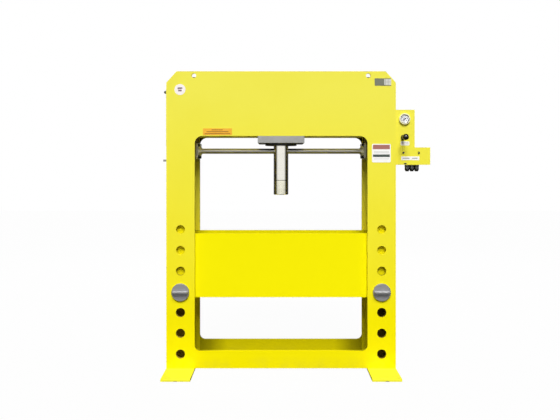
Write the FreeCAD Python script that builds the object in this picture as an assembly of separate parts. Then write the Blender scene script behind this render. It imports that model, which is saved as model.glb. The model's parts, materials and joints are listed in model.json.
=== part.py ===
import FreeCAD, Part
import math
import os

from FreeCAD import Vector

# An H-frame hydraulic press for a workshop floor. Two flame-cut steel plates make the frame, a cylinder hangs
# under its crown, and a bed of two deep plates rests on two pins in the columns and is raised by a winch shaft.
# Millimetres. X runs to the operator's right, Y away from the operator and Z up. The origin is on the floor,
# under the ram's axis and half way between the two frame plates.

# Clearances
touch_gap = 0.3              # between moving pieces that meet face to face
slip_fit = 0.25              # radial, between fixed round pieces that go into each other
running_fit = 0.06           # radial, a shaft that turns in its bearing
barrel_fit = 0.6             # radial, the barrel in the head block
lap = 1.0                    # how far the parts of one solid run into each other before they are joined

# Edges
turned_chamfer = 2.0
joint_chamfer = 1.5

# Frame
frame_width = 1458.0
window_width = 1098.0
window_height = 1365.0
crown_height = 411.0
base_height = 110.0
plate_thickness = 22.0
barrel_side_room = 17.9      # from the barrel to each frame plate
window_top_radius = 48.0
window_bottom_radius = 36.0
crown_chamfer_width = 65.0
crown_chamfer_height = 72.0
crown_chamfer_round = 12.0
side_plate_thickness = 16.0
foot_thickness = 16.0
foot_reach = 203.0
lifting_hole_radius = 15.0
lifting_hole_inset = 175.0
lifting_hole_drop = 27.5
rib_thickness = 25.0
rib_gap = 16.0               # from the barrel to each rib
rib_top_drop = 24.0

# Pins and their holes
pin_radius = 25.4
pin_hole_play = 2.85         # radial
pin_pitch = 131.7
lowest_pin_height = 106.7
pin_hole_count = 7
bed_hole = 3                 # which hole, counted from the lowest, carries the bed
pin_head_radius = 56.0
pin_head_thickness = 12.7
pin_tail = 12.0
pin_chamfer = 3.0
handle_length = 100.0
handle_reach = 28.0
handle_thickness = 8.0
handle_round = 10.0

# Bed
bed_height = 406.0
bed_plate_thickness = 32.0
bed_side_clearance = 3.4
bed_end_clearance = 13.0
saddle_depth = 37.5          # pin's axis above the bed's lower edge
diaphragm_thickness = 16.0
diaphragm_foot = 110.0       # diaphragm's lower edge above the bed's
diaphragm_drop = 6.0
eye_drop = 26.0
ear_height = 62.0            # the bed's ears stand up inside the columns
ear_inset = 10.0
ear_width = 112.0
ear_corner = 18.0
eye_radius = 8.0

# Cylinder and ram
rod_radius = 48.0
bore_radius = 76.2
barrel_radius = 101.5
barrel_top_drop = 36.0       # from the frame's top
cap_flange = 14.0
cap_spigot = 22.0
cap_chamfer = 3.0
block_width = 297.0
block_height = 45.0
block_chamfer = 2.0
block_screw_radius = 8.0
block_screw_head_radius = 12.0
block_screw_head = 16.0
block_screw_depth = 34.0
block_screw_spread = 78.0
block_screw_sink = 1.0       # each head lies this far up in its counterbore
block_screw_room = 4.0       # the tapped hole past the screw's end
gland_overhang = 1.5         # past the barrel's side
gland_flange = 13.0
gland_sleeve = 45.0
seal_width = 8.0
seal_depth = 8.0
seal_rise = 6.0              # from the block's lower face
piston_length = 55.0
piston_spigot_radius = 30.0
nose_length = 94.0
nose_spigot_radius = 26.0
nose_spigot = 50.0
nose_chamfer = 3.0
rod_length = 414.0
ram_stroke_down = 110.0
port_radius = 7.0
port_inset = 10.0            # each port's axis from the end face beside it
port_room = 20.0             # kept clear of the piston at each end of the bore

# Bed lift
shaft_radius = 17.5
shaft_back = 65.5            # axis behind the frame's mid-plane
shaft_drop = 91.5            # heights are from the window's top edge
shaft_chamfer = 2.0
shaft_end_inset = 39.0       # from the frame's side to the shaft's end
bearing_plate_thickness = 12.7
bearing_plate_recess = 11.0
bearing_plate_below = 60.5
bearing_flange = 106.0
bearing_flange_thickness = 13.0
bearing_flange_corner = 14.0
bearing_shaft_room = 6.0     # radial, the shaft's hole in the bearing plate
bearing_hub_radius = 36.0
bearing_hub_tip_radius = 32.0
bearing_hub_length = 28.0
bearing_bore_radius = 27.0
bearing_bolt_spacing = 79.0
bearing_ring_proud = 5.0
bearing_ring_start = 2.0
bearing_ring_step = 4.0
bolt_radius = 6.0
bolt_head_radius = 10.4
bolt_head_height = 8.0
washer_radius = 11.96
washer_thickness = 2.5
cable_radius = 4.0
drum_core_radius = 35.75
drum_flange_radius = 49.0
drum_flange_thickness = 6.0
drum_width = 66.0
drum_gap = 5.0
socket_length = 60.0
socket_radius = 9.0
fork_wall = 6.0
fork_height = 22.0
fork_room = 1.0              # above the diaphragm
clevis_pin_proud = 3.0
gear_module = 3.0
gear_teeth = 30
pinion_teeth = 12
pressure_angle = math.radians(25)
tooth_addendum = 0.8         # in modules
tooth_dedendum = 1.1
tooth_backlash = 0.35
gear_width = 22.0
gear_gap = 6.0
crank_radius = 10.0
crank_square = 14.0
crank_square_length = 46.0
crank_collar = 4.0
crank_proud = 4.0            # the round shaft past its bush
crank_bush_radius = 20.0
crank_bush_flange_radius = 30.0
crank_bush_flange = 6.0
crank_bush_inside = 14.0

# Access cover on the left column
cover_thickness = 6.0
cover_width = 230.0
cover_below = 65.0
cover_above = 309.0
cover_corner = 12.0
cover_window_margin = 52.0
cover_tongue_width = 80.0
cover_tongue_thickness = 5.0
cover_lip_drop = 15.0
stud_inset = 26.0
stud_depth = 20.0
stud_end_room = 4.0
cap_nut_hexagon = 9.0
cap_nut_height = 18.0
cap_nut_dome_radius = 8.736
cap_nut_dome_start = 3.0

# Control panel on the right column
panel_sheet = 3.0
panel_set_back = 16.0        # behind the frame's front face
panel_width = 123.0
panel_above = 168.0
panel_step_drop = 72.0
panel_below = 183.0
panel_full_width = 222.0
panel_flange = 60.0
panel_corner = 4.0
box_depth = 96.0
box_width = 186.0
box_wall = 2.0
gland_hole_radius = 9.0
cable_gland_radius = 14.5
cable_gland_length = 42.0
cable_gland_inside = 6.0
cable_gland_nose = 12.0
cable_gland_nose_step = 5.0
cable_gland_nose_shoulder = 12.5
cable_gland_nose_radius = 8.5
cable_gland_set_back = 6.0
lead_radius = 4.0
cable_gland_spacing = 30.0
cable_gland_centre = 109.0   # out from the column
button_centre = 100.0
button_radius = 6.0
button_proud = 7.0
button_spacing = 98.0
button_drop = 105.0
button_depth = 12.0
button_collar_radius = 9.0
button_collar_gap = 0.4
button_collar_thickness = 2.6
button_stem_radius = 4.0
button_edge = 1.0
gauge_offset = 58.0
gauge_rise = 109.0
gauge_radius = 35.5
gauge_glass_radius = 29.0
gauge_case_radius = 31.0
gauge_proud = 14.0
gauge_case_depth = 30.0
gauge_dial_depth = 9.0
gauge_glass_thickness = 2.0
needle_thickness = 1.0
needle_lift = 2.5
needle_half_width = 2.2
needle_tip_half_width = 0.5
needle_tip_gap = 5.0
needle_tail = 9.0
needle_boss_radius = 3.5
needle_boss_gap = 0.5
needle_spindle_radius = 2.0
needle_spindle_depth = 5.0
needle_rest_angle = -135.0
gauge_glass_set_back = 1.0
gauge_spindle_hole = 6.0
gauge_stem_radius = 8.0
lever_offset = 46.0
lever_drop = 10.0
yoke_thickness = 8.0
yoke_reach = 5.0
yoke_spread = 17.0
yoke_cheek = 4.0
yoke_slot = 9.0
yoke_base_radius = 12.0
yoke_arm_half_width = 5.0
yoke_arm_round = 4.5
yoke_cheek_half_height = 9.0
yoke_cheek_reach = 10.0      # before the lever's pin
lever_pin_radius = 4.0
lever_eye_radius = 9.0
lever_pivot_out = 24.0
lever_length = 62.0
lever_radius = 4.0
knob_radius = 19.5
knob_flat = 2.0
knob_centre_out = 2.0        # past the stem's end
valve_width = 70.0
valve_height = 84.0
valve_depth = 60.0
valve_shift = 4.0            # to the right of the lever
valve_neck_radius = 10.25

# Power unit behind the crown
shelf_thickness = 10.0
shelf_width = 560.0
shelf_depth = 300.0
shelf_rise = 39.0
shelf_back_height = 180.0
shelf_gusset_height = 150.0
shelf_gusset_reach = 240.0
tank_width = 520.0
tank_depth = 250.0
tank_height = 180.0
tank_wall = 3.0
tank_round = 20.0
tank_back_gap = 22.0
lid_thickness = 6.0
lid_overhang = 10.0
motor_radius = 72.0
motor_length = 230.0
motor_axis_height = 92.0     # above the lid
motor_shift = 60.0           # to the left of the middle
motor_fan_cover = 52.0
motor_fan_nose = 10.0
motor_fan_round = 12.0
motor_neck = 26.0
motor_neck_radius = 30.0
motor_bell_rim = 12.0
motor_bell_step = 4.0
fin_count = 24
fin_height = 6.0
fin_half_width = 1.5
fin_drop = 1.0               # fins stop below the fan cover's radius
fin_sunk = 2.0
motor_foot_width = 130.0
motor_foot_depth = 34.0
motor_foot_thickness = 10.0
motor_foot_inset = 20.0
motor_web_inset = 30.0
motor_web_offset = 36.0
motor_web_thickness = 10.0
motor_web_drop = 40.0
terminal_box_start = 60.0
terminal_box_length = 100.0
terminal_box_half_width = 45.0
terminal_box_bottom = 50.0
terminal_box_top = 84.0
pump_side = 82.0
pump_length = 74.0
pump_drop = 8.0
pump_chamfer = 6.0
pump_flange_radius = 46.0
pump_flange_thickness = 12.0
filler_radius = 26.0
filler_neck_radius = 20.0
filler_neck_bore = 17.0
filler_neck_height = 12.0
filler_chamfer = 4.0
filler_height = 34.0
filler_x = 205.0
filler_back = 70.0           # behind the tank's middle
pipe_radius = 6.0
pipe_bend = 24.0
pipe_hole_clearance = 2.0
pipe_pitch = 14.0
pipe_lane_inset = 70.0       # the pressure riser's distance in from the frame's side
pipe_lane_pitch = 40.0       # from the pressure riser in to the drain's
pipe_valve_drop = 27.0       # the pump and tank ports below the valve's middle
side_pipe_pitch = 19.0       # between the two pipes that pass the right side plate
side_drop_bends = 2.5        # the advance pipe's drop, in bend radii inside the side plate
drain_set_forward = 50.0
drain_below_lid = 50.0

# Worked-out places
half_width = frame_width / 2
window_half = window_width / 2
column_centre = (half_width + window_half) / 2
gap_half = barrel_radius + barrel_side_room
face_y = gap_half + plate_thickness
frame_bottom = foot_thickness
window_bottom = frame_bottom + base_height
window_top = window_bottom + window_height
shaft_height = window_top - shaft_drop
cover_bottom = window_top - cover_below
cover_top = window_top + cover_above
panel_top = window_top + panel_above
panel_step = window_top - panel_step_drop
panel_bottom = window_top - panel_below
button_height = window_top - button_drop
gauge_height = window_top + gauge_rise
lever_height = window_top - lever_drop
shelf_height = window_top + shelf_rise
frame_top = window_top + crown_height
side_inner = half_width - side_plate_thickness
pin_hole_radius = pin_radius + pin_hole_play
gland_radius = barrel_radius + gland_overhang
pin_heights = [lowest_pin_height + i * pin_pitch for i in range(pin_hole_count)]
pin_height = pin_heights[bed_hole] - (pin_hole_radius - pin_radius - touch_gap)
bed_half_depth = gap_half - bed_side_clearance
bed_half_length = side_inner - bed_end_clearance
bed_bottom = pin_height - saddle_depth
bed_top = bed_bottom + bed_height
bed_inner_y = bed_half_depth - bed_plate_thickness
eye_height = bed_top - eye_drop
block_bottom = window_top - block_height
barrel_top = frame_top - barrel_top_drop
gland_top = block_bottom + gland_sleeve
piston_bottom = gland_top + port_room + ram_stroke_down
piston_top = piston_bottom + piston_length
nose_top = piston_bottom - rod_length
low_port = gland_top + port_inset
high_port = barrel_top - cap_spigot - port_inset
bearing_face = window_half + bearing_plate_recess
drum_start = bearing_face + bearing_plate_thickness + drum_gap
cable_x = drum_start + drum_width / 2
cable_pitch_radius = drum_core_radius + slip_fit + cable_radius
cable_y = shaft_back - cable_pitch_radius
gear_start = drum_start + drum_width + gear_gap
gear_pitch_radius = gear_module * gear_teeth / 2
pinion_pitch_radius = gear_module * pinion_teeth / 2
crank_height = shaft_height - gear_pitch_radius - pinion_pitch_radius
panel_y = panel_set_back - face_y
lever_y = panel_y - yoke_thickness - lever_pivot_out
tank_front = face_y + tank_back_gap
shelf_top = shelf_height + shelf_thickness
lid_top = shelf_top + tank_height + lid_thickness
tank_middle = tank_front + tank_depth / 2
filler_y = tank_middle + filler_back
motor_height = lid_top + motor_axis_height
motor_left = -motor_length / 2 - motor_shift
motor_right = motor_length / 2 - motor_shift
pump_left = motor_right + motor_neck
valve_top = lever_height + valve_height / 2
valve_left = half_width + lever_offset - valve_width / 2 + valve_shift
valve_back = panel_y + panel_sheet + valve_depth
side_pipe_heights = (low_port, low_port + side_pipe_pitch)


def block(x0, x1, y0, y1, z0, z1):
    return Part.makeBox(abs(x1 - x0), abs(y1 - y0), abs(z1 - z0), Vector(min(x0, x1), min(y0, y1), min(z0, z1)))


def bar(radius, start, end):
    run = end - start
    return Part.makeCylinder(radius, run.Length, start, run)


def turned(profile, start, direction):
    """A solid of revolution from (radius, distance along the axis) points."""
    points = [Vector(r, 0, s) for r, s in profile]
    face = Part.Face(Part.makePolygon(points + points[:1]))
    solid = face.revolve(Vector(0, 0, 0), Vector(0, 0, 1), 360)
    solid.Placement = FreeCAD.Placement(start, FreeCAD.Rotation(Vector(0, 0, 1), direction))
    return solid


def hexagon(radius, start, end):
    """A hexagonal prism whose corners lie on the radius."""
    run = end - start
    points = []
    for i in range(6):
        angle = math.radians(60 * i + 30)
        points.append(Vector(radius * math.cos(angle), radius * math.sin(angle), 0))
    solid = Part.Face(Part.makePolygon(points + points[:1])).extrude(Vector(0, 0, run.Length))
    solid.Placement = FreeCAD.Placement(start, FreeCAD.Rotation(Vector(0, 0, 1), run))
    return solid


def rounded_wire(points, radii):
    """A closed wire through the points with each corner rounded by its own radius; 0 keeps it sharp."""
    edges = []
    ends = []
    count = len(points)
    for i, (corner, radius) in enumerate(zip(points, radii)):
        before = (points[i - 1] - corner).normalize()
        after = (points[(i + 1) % count] - corner).normalize()
        if radius == 0:
            ends.append((corner, None, corner))
            continue
        half = before.getAngle(after) / 2
        middle = (before + after).normalize()
        tangent = radius / math.tan(half)
        deep = radius / math.sin(half) - radius
        ends.append((corner + before * tangent, corner + middle * deep, corner + after * tangent))
    for i, (start, middle, end) in enumerate(ends):
        if middle is not None:
            edges.append(Part.Arc(start, middle, end).toShape())
        following = ends[(i + 1) % count][0]
        if (following - end).Length > 1e-6:
            edges.append(Part.makeLine(end, following))
    return Part.Wire(edges)


def plate(points, radii, push):
    """A plate with rounded corners, pushed out of its outline's plane."""
    return Part.Face(rounded_wire(points, radii)).extrude(push)


def frame_outline(y):
    top = frame_top
    points = [
        Vector(-half_width, y, frame_bottom),
        Vector(half_width, y, frame_bottom),
        Vector(half_width, y, top - crown_chamfer_height),
        Vector(half_width - crown_chamfer_width, y, top),
        Vector(-half_width + crown_chamfer_width, y, top),
        Vector(-half_width, y, top - crown_chamfer_height),
    ]
    return points, [0, 0] + [crown_chamfer_round] * 4


def window_outline(y):
    points = [
        Vector(-window_half, y, window_bottom),
        Vector(window_half, y, window_bottom),
        Vector(window_half, y, window_top),
        Vector(-window_half, y, window_top),
    ]
    return points, [window_bottom_radius] * 2 + [window_top_radius] * 2


def frame_plate(y):
    """One flame-cut plate: legs, crown and base in one piece, with the pin holes and lifting holes."""
    push = Vector(0, plate_thickness, 0)
    solid = plate(*frame_outline(y), push)
    tools = [plate(*window_outline(y), push)]
    for side in (-1, 1):
        for height in pin_heights:
            tools.append(bar(pin_hole_radius, Vector(side * column_centre, y, height),
                             Vector(side * column_centre, y + plate_thickness, height)))
        lift_x = side * (half_width - lifting_hole_inset)
        lift_z = frame_top - lifting_hole_drop
        tools.append(bar(lifting_hole_radius, Vector(lift_x, y, lift_z),
                         Vector(lift_x, y + plate_thickness, lift_z)))
    return solid.cut(tools)


def side_plate(side):
    """The outer plate of a column, welded between the two frame plates."""
    top = frame_top - crown_chamfer_height - crown_chamfer_round
    solid = block(side * side_inner, side * half_width, -gap_half, gap_half, frame_bottom, top)
    if side > 0:
        radius = pipe_radius + pipe_hole_clearance
        holes = [bar(radius, Vector(side_inner, 0, z), Vector(half_width, 0, z)) for z in side_pipe_heights]
        return solid.cut(holes)
    opening = block(side * side_inner, side * half_width, -cover_width / 2 + cover_window_margin,
                    cover_width / 2 - cover_window_margin, cover_bottom + cover_window_margin,
                    cover_top - cover_window_margin)
    bush_hole = bar(crank_bush_radius + slip_fit, Vector(-side_inner, shaft_back, crank_height),
                    Vector(-half_width, shaft_back, crank_height))
    return solid.cut([opening, bush_hole] + [stud_hole(place) for place in stud_places()])


def stud_places():
    reach = cover_width / 2 - stud_inset
    return [Vector(-half_width, y, cover_top - stud_inset) for y in (-reach, reach)]


def stud_hole(place):
    """A hole for one stud, through the cover and into the side plate."""
    return bar(bolt_radius + slip_fit, place - Vector(cover_thickness, 0, 0), place + Vector(stud_depth, 0, 0))


def access_cover():
    """The cover over the left drum and gear: two cap nuts at its top, a tongue behind the plate at its foot."""
    x = -half_width
    half = cover_width / 2
    points = [Vector(x, -half, cover_bottom), Vector(x, half, cover_bottom),
              Vector(x, half, cover_top), Vector(x, -half, cover_top)]
    solid = plate(points, [cover_corner] * 4, Vector(-cover_thickness, 0, 0))
    ledge = cover_bottom + cover_window_margin
    behind = x + side_plate_thickness
    half_tongue = cover_tongue_width / 2
    inside = behind + cover_tongue_thickness
    above = ledge + cover_tongue_thickness
    tongue = block(x, inside, -half_tongue, half_tongue, ledge + touch_gap, above)
    lip = block(behind + touch_gap, inside, -half_tongue, half_tongue, ledge - cover_lip_drop, above)
    return solid.fuse([tongue, lip]).cut([stud_hole(place) for place in stud_places()]).removeSplitter()


def hex_bolt(seat, direction, depth, head_height):
    """A hexagon bolt with its washer; seat is the washer's underside and direction leads to the head."""
    head_start = seat + direction * washer_thickness
    head = hexagon(bolt_head_radius, head_start, head_start + direction * head_height)
    shank = bar(bolt_radius, seat - direction * depth, head_start + direction * lap)
    ring = bar(washer_radius, seat, head_start)
    return head.fuse([shank, ring]).removeSplitter()


def cover_studs():
    """Studs in the side plate with domed cap nuts on them."""
    outward = Vector(-1, 0, 0)
    depth = cover_thickness + stud_depth - stud_end_room
    shoulder = cap_nut_height - cap_nut_dome_radius
    profile = [(0, cap_nut_dome_start), (cap_nut_dome_radius, cap_nut_dome_start)]
    for degrees in range(0, 90, 15):
        angle = math.radians(degrees)
        height = shoulder + cap_nut_dome_radius * math.sin(angle)
        profile.append((cap_nut_dome_radius * math.cos(angle), height))
    profile.append((0, cap_nut_height))
    studs = []
    for place in stud_places():
        seat = place + outward * cover_thickness
        nut = hex_bolt(seat, outward, depth, cap_nut_hexagon)
        studs.append(nut.fuse(turned(profile, seat, outward)).removeSplitter())
    return studs


def foot_plate(side):
    """A flat bar under a column that reaches out to the front and the rear."""
    reach = face_y + foot_reach
    return block(side * window_half, side * half_width, -reach, reach, 0, foot_thickness)


def rib_edge(side):
    return side * (barrel_radius + rib_gap)


def rib_middle(side):
    return rib_edge(side) + side * rib_thickness / 2


def screw_places():
    spread = (-block_screw_spread, block_screw_spread)
    return [Vector(rib_middle(side), y, 0) for side in (-1, 1) for y in spread]


def crown_rib(side):
    solid = block(rib_edge(side), rib_edge(side) + side * rib_thickness, -gap_half, gap_half,
                  window_top, frame_top - rib_top_drop)
    holes = []
    depth = Vector(0, 0, block_screw_depth + block_screw_room)
    for place in screw_places():
        start = place + Vector(0, 0, window_top)
        holes.append(bar(block_screw_radius + slip_fit, start, start + depth))
    for z in (low_port, high_port):
        holes.append(bar(pipe_radius + pipe_hole_clearance, Vector(0, 0, z), Vector(2 * rib_edge(1), 0, z)))
    return solid.cut(holes)


def head_block():
    """The thick block under the crown that takes the cylinder's thrust."""
    solid = block(-block_width / 2, block_width / 2, -face_y, face_y, block_bottom, window_top)
    long_edges = [e for e in solid.Edges if abs(e.Vertexes[0].Z - block_bottom) < 1e-6
                  and abs(e.Vertexes[1].Z - block_bottom) < 1e-6]
    solid = solid.makeChamfer(block_chamfer, long_edges)
    tools = [bar(barrel_radius + barrel_fit, Vector(0, 0, block_bottom), Vector(0, 0, window_top))]
    sunk = Vector(0, 0, block_screw_head + block_screw_sink)
    for place in screw_places():
        low = place + Vector(0, 0, block_bottom)
        tools.append(bar(block_screw_head_radius + block_screw_sink, low, low + sunk))
        tools.append(bar(block_screw_radius + slip_fit, low, place + Vector(0, 0, window_top)))
    return solid.cut(tools)


def head_block_screws():
    """Socket cap screws, sunk in the block and screwed up into the ribs."""
    screws = []
    for place in screw_places():
        top = place + Vector(0, 0, block_bottom + block_screw_head + block_screw_sink)
        head = bar(block_screw_head_radius, top - Vector(0, 0, block_screw_head), top)
        socket = hexagon(block_screw_radius, top - Vector(0, 0, block_screw_head),
                         top - Vector(0, 0, block_screw_head / 2))
        shank = bar(block_screw_radius, top, place + Vector(0, 0, window_top + block_screw_depth))
        screws.append(head.cut(socket).fuse(shank))
    return screws


def cylinder_barrel():
    tube = bar(barrel_radius, Vector(0, 0, block_bottom), Vector(0, 0, barrel_top))
    bore = bar(bore_radius, Vector(0, 0, block_bottom), Vector(0, 0, barrel_top))
    ports = [bar(port_radius, Vector(0, 0, z), Vector(barrel_radius, 0, z)) for z in (low_port, high_port)]
    return tube.cut([bore] + ports)


def cylinder_cap():
    spigot = bore_radius - slip_fit
    top = barrel_top + cap_flange
    return turned([(0, barrel_top - cap_spigot), (spigot, barrel_top - cap_spigot), (spigot, barrel_top),
                   (barrel_radius, barrel_top), (barrel_radius, top - cap_chamfer),
                   (barrel_radius - cap_chamfer, top), (0, top)],
                  Vector(0, 0, 0), Vector(0, 0, 1))


def cylinder_gland():
    """The black flanged ring that closes the barrel and guides the rod."""
    inner = rod_radius + running_fit
    sleeve = bore_radius - slip_fit
    flange_bottom = block_bottom - gland_flange
    groove = inner + seal_depth
    seal_bottom = block_bottom + seal_rise
    seal_top = seal_bottom + seal_width
    profile = [(inner, flange_bottom), (gland_radius - turned_chamfer, flange_bottom),
               (gland_radius, flange_bottom + turned_chamfer), (gland_radius, block_bottom),
               (sleeve, block_bottom), (sleeve, gland_top), (inner, gland_top),
               (inner, seal_top), (groove, seal_top), (groove, seal_bottom), (inner, seal_bottom)]
    return turned(profile, Vector(0, 0, 0), Vector(0, 0, 1))


def rod_seal():
    inner = rod_radius + running_fit
    outer = inner + seal_depth - slip_fit
    low = block_bottom + seal_rise + slip_fit
    high = low + seal_width - 2 * slip_fit
    return turned([(inner, low), (outer, low), (outer, high), (inner, high)], Vector(0, 0, 0), Vector(0, 0, 1))


def piston():
    outer = bore_radius - running_fit
    inner = piston_spigot_radius + slip_fit
    middle = (piston_bottom + piston_top) / 2
    groove = outer - seal_depth
    low = middle - seal_width / 2
    high = middle + seal_width / 2
    profile = [(inner, piston_bottom), (outer - turned_chamfer, piston_bottom),
               (outer, piston_bottom + turned_chamfer), (outer, low), (groove, low), (groove, high),
               (outer, high), (outer, piston_top - turned_chamfer), (outer - turned_chamfer, piston_top),
               (inner, piston_top)]
    return turned(profile, Vector(0, 0, 0), Vector(0, 0, 1))


def piston_seal():
    outer = bore_radius - running_fit
    inner = outer - seal_depth + slip_fit
    middle = (piston_bottom + piston_top) / 2
    low = middle - seal_width / 2 + slip_fit
    high = middle + seal_width / 2 - slip_fit
    return turned([(inner, low), (outer, low), (outer, high), (inner, high)], Vector(0, 0, 0), Vector(0, 0, 1))


def ram_rod():
    """The chromed rod, with one spigot up into the piston and one down into the nose."""
    low = nose_top
    profile = [(0, low - nose_spigot + slip_fit), (nose_spigot_radius, low - nose_spigot + slip_fit),
               (nose_spigot_radius, low), (rod_radius - joint_chamfer, low), (rod_radius, low + joint_chamfer),
               (rod_radius, piston_bottom), (piston_spigot_radius, piston_bottom),
               (piston_spigot_radius, piston_top), (0, piston_top)]
    return turned(profile, Vector(0, 0, 0), Vector(0, 0, 1))


def ram_nose():
    """The loose end piece that presses on the work."""
    top = nose_top
    low = top - nose_length
    socket = nose_spigot_radius + slip_fit
    profile = [(0, low), (rod_radius - nose_chamfer, low), (rod_radius, low + nose_chamfer),
               (rod_radius, top - joint_chamfer), (rod_radius - joint_chamfer, top), (socket, top),
               (socket, top - nose_spigot), (0, top - nose_spigot)]
    return turned(profile, Vector(0, 0, 0), Vector(0, 0, 1))


def bed_plate(y):
    """One deep plate of the bed, with a saddle over the pin and an ear in the column at each end."""
    solid = block(-bed_half_length, bed_half_length, y, y + bed_plate_thickness, bed_bottom, bed_top)
    ears = []
    for side in (-1, 1):
        outer = side * (bed_half_length - ear_inset)
        inner = outer - side * ear_width
        points = [Vector(inner, y, bed_top - lap), Vector(outer, y, bed_top - lap),
                  Vector(outer, y, bed_top + ear_height), Vector(inner, y, bed_top + ear_height)]
        ears.append(plate(points, [0, 0, ear_corner, ear_corner], Vector(0, bed_plate_thickness, 0)))
    solid = solid.fuse(ears).removeSplitter()
    tools = []
    radius = pin_radius + touch_gap
    for side in (-1, 1):
        x = side * column_centre
        tools.append(bar(radius, Vector(x, y, pin_height), Vector(x, y + bed_plate_thickness, pin_height)))
        tools.append(block(x - radius, x + radius, y, y + bed_plate_thickness, bed_bottom, pin_height))
    return solid.cut(tools)


def bed_diaphragm(side):
    x = side * cable_x
    half = diaphragm_thickness / 2
    solid = block(x - half, x + half, -bed_inner_y, bed_inner_y,
                  bed_bottom + diaphragm_foot, bed_top - diaphragm_drop)
    return solid.cut(bar(eye_radius + slip_fit, Vector(x - half, cable_y, eye_height),
                         Vector(x + half, cable_y, eye_height)))


def cable_socket(side):
    """A swaged fork that straddles the diaphragm, with its clevis pin."""
    x = side * cable_x
    half = diaphragm_thickness / 2 + touch_gap
    outer = half + fork_wall
    top = eye_height + socket_length
    fork_top = eye_height + fork_height
    fork = block(x - outer, x + outer, cable_y - fork_height / 2, cable_y + fork_height / 2,
                 eye_height - fork_height / 2, fork_top)
    slot_top = max(bed_top - diaphragm_drop + fork_room, fork_top - fork_wall)
    slot = block(x - half, x + half, cable_y - fork_height, cable_y + fork_height,
                 eye_height - fork_height, slot_top)
    crown = block(x - outer, x + outer, cable_y - fork_height / 2, cable_y + fork_height / 2,
                  fork_top, fork_top + fork_wall)
    neck = bar(socket_radius, Vector(x, cable_y, fork_top), Vector(x, cable_y, top))
    hole = bar(eye_radius + slip_fit, Vector(x - outer, cable_y, eye_height),
               Vector(x + outer, cable_y, eye_height))
    body = fork.fuse([crown, neck]).cut([slot, hole]).removeSplitter()
    pin_end = outer + clevis_pin_proud
    pin = bar(eye_radius, Vector(x - pin_end, cable_y, eye_height), Vector(x + pin_end, cable_y, eye_height))
    return [body, pin]


def lift_cable(side):
    x = side * cable_x
    low = eye_height + socket_length + touch_gap
    return bar(cable_radius, Vector(x, cable_y, low), Vector(x, cable_y, shaft_height - touch_gap))


def bed_pin(side):
    """A turned pin with a flat round head that seats on the front plate."""
    head_face = -face_y - touch_gap - pin_head_thickness
    tail = face_y + pin_tail
    length = tail - head_face
    profile = [(0, 0), (pin_head_radius - turned_chamfer, 0), (pin_head_radius, turned_chamfer),
               (pin_head_radius, pin_head_thickness), (pin_radius, pin_head_thickness),
               (pin_radius, length - pin_chamfer),
               (pin_radius - pin_chamfer, length), (0, length)]
    return turned(profile, Vector(side * column_centre, head_face, pin_height), Vector(0, 1, 0))


def pin_handle(side):
    """The flat bar welded across the pin's head to pull it by."""
    x = side * column_centre
    y = -face_y - touch_gap - pin_head_thickness
    half = handle_length / 2
    low = pin_height - handle_thickness / 2
    points = [Vector(x - half, y, low), Vector(x + half, y, low),
              Vector(x + half, y - handle_reach, low), Vector(x - half, y - handle_reach, low)]
    return plate(points, [0, 0, handle_round, handle_round], Vector(0, 0, handle_thickness))


def bearing_plate(side):
    solid = block(side * bearing_face, side * (bearing_face + bearing_plate_thickness), -gap_half, gap_half,
                  shaft_height - bearing_plate_below, window_top)
    inner = side * bearing_face
    outer = side * (bearing_face + bearing_plate_thickness)
    tools = [bar(shaft_radius + bearing_shaft_room, Vector(inner, shaft_back, shaft_height),
                 Vector(outer, shaft_back, shaft_height))]
    for y, z in bearing_bolt_places():
        tools.append(bar(bolt_radius + slip_fit, Vector(inner, y, z), Vector(outer, y, z)))
    return solid.cut(tools)


def bearing_bolt_places():
    half = bearing_bolt_spacing / 2
    return [(shaft_back + i * half, shaft_height + j * half) for i in (-1, 1) for j in (-1, 1)]


def bearing_housing(side):
    """A cast four-bolt flange housing."""
    x = side * bearing_face
    half = bearing_flange / 2
    inward = Vector(-side, 0, 0)
    front, back = shaft_back - half, shaft_back + half
    low, high = shaft_height - half, shaft_height + half
    points = [Vector(x, front, low), Vector(x, back, low), Vector(x, back, high), Vector(x, front, high)]
    flange = plate(points, [bearing_flange_corner] * 4, inward * bearing_flange_thickness)
    hub = turned([(0, 0), (bearing_hub_radius, 0), (bearing_hub_radius, bearing_flange_thickness),
                  (bearing_hub_tip_radius, bearing_hub_length), (0, bearing_hub_length)],
                 Vector(x, shaft_back, shaft_height), inward)
    tools = [bar(bearing_bore_radius, Vector(x, shaft_back, shaft_height),
                 Vector(x, shaft_back, shaft_height) + inward * bearing_hub_length)]
    for y, z in bearing_bolt_places():
        place = Vector(x, y, z)
        tools.append(bar(bolt_radius + slip_fit, place, place + inward * bearing_flange_thickness))
    return flange.fuse(hub).cut(tools).removeSplitter()


def bearing_bolts():
    bolts = []
    for side in (-1, 1):
        inward = Vector(-side, 0, 0)
        for y, z in bearing_bolt_places():
            seat = Vector(side * bearing_face, y, z) + inward * bearing_flange_thickness
            depth = bearing_flange_thickness + bearing_plate_thickness
            bolts.append(hex_bolt(seat, inward, depth, bolt_head_height))
    return bolts


def bearing_ring(side):
    """The inner ring, fixed on the shaft, that turns in the housing."""
    start = Vector(side * bearing_face, shaft_back, shaft_height)
    inner = shaft_radius + slip_fit
    outer = bearing_bore_radius - touch_gap
    length = bearing_hub_length + bearing_ring_proud
    step = outer - bearing_ring_step
    profile = [(inner, bearing_ring_start), (outer, bearing_ring_start), (outer, bearing_hub_length),
               (step, bearing_hub_length), (step, length), (inner, length)]
    return turned(profile, start, Vector(-side, 0, 0))


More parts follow.
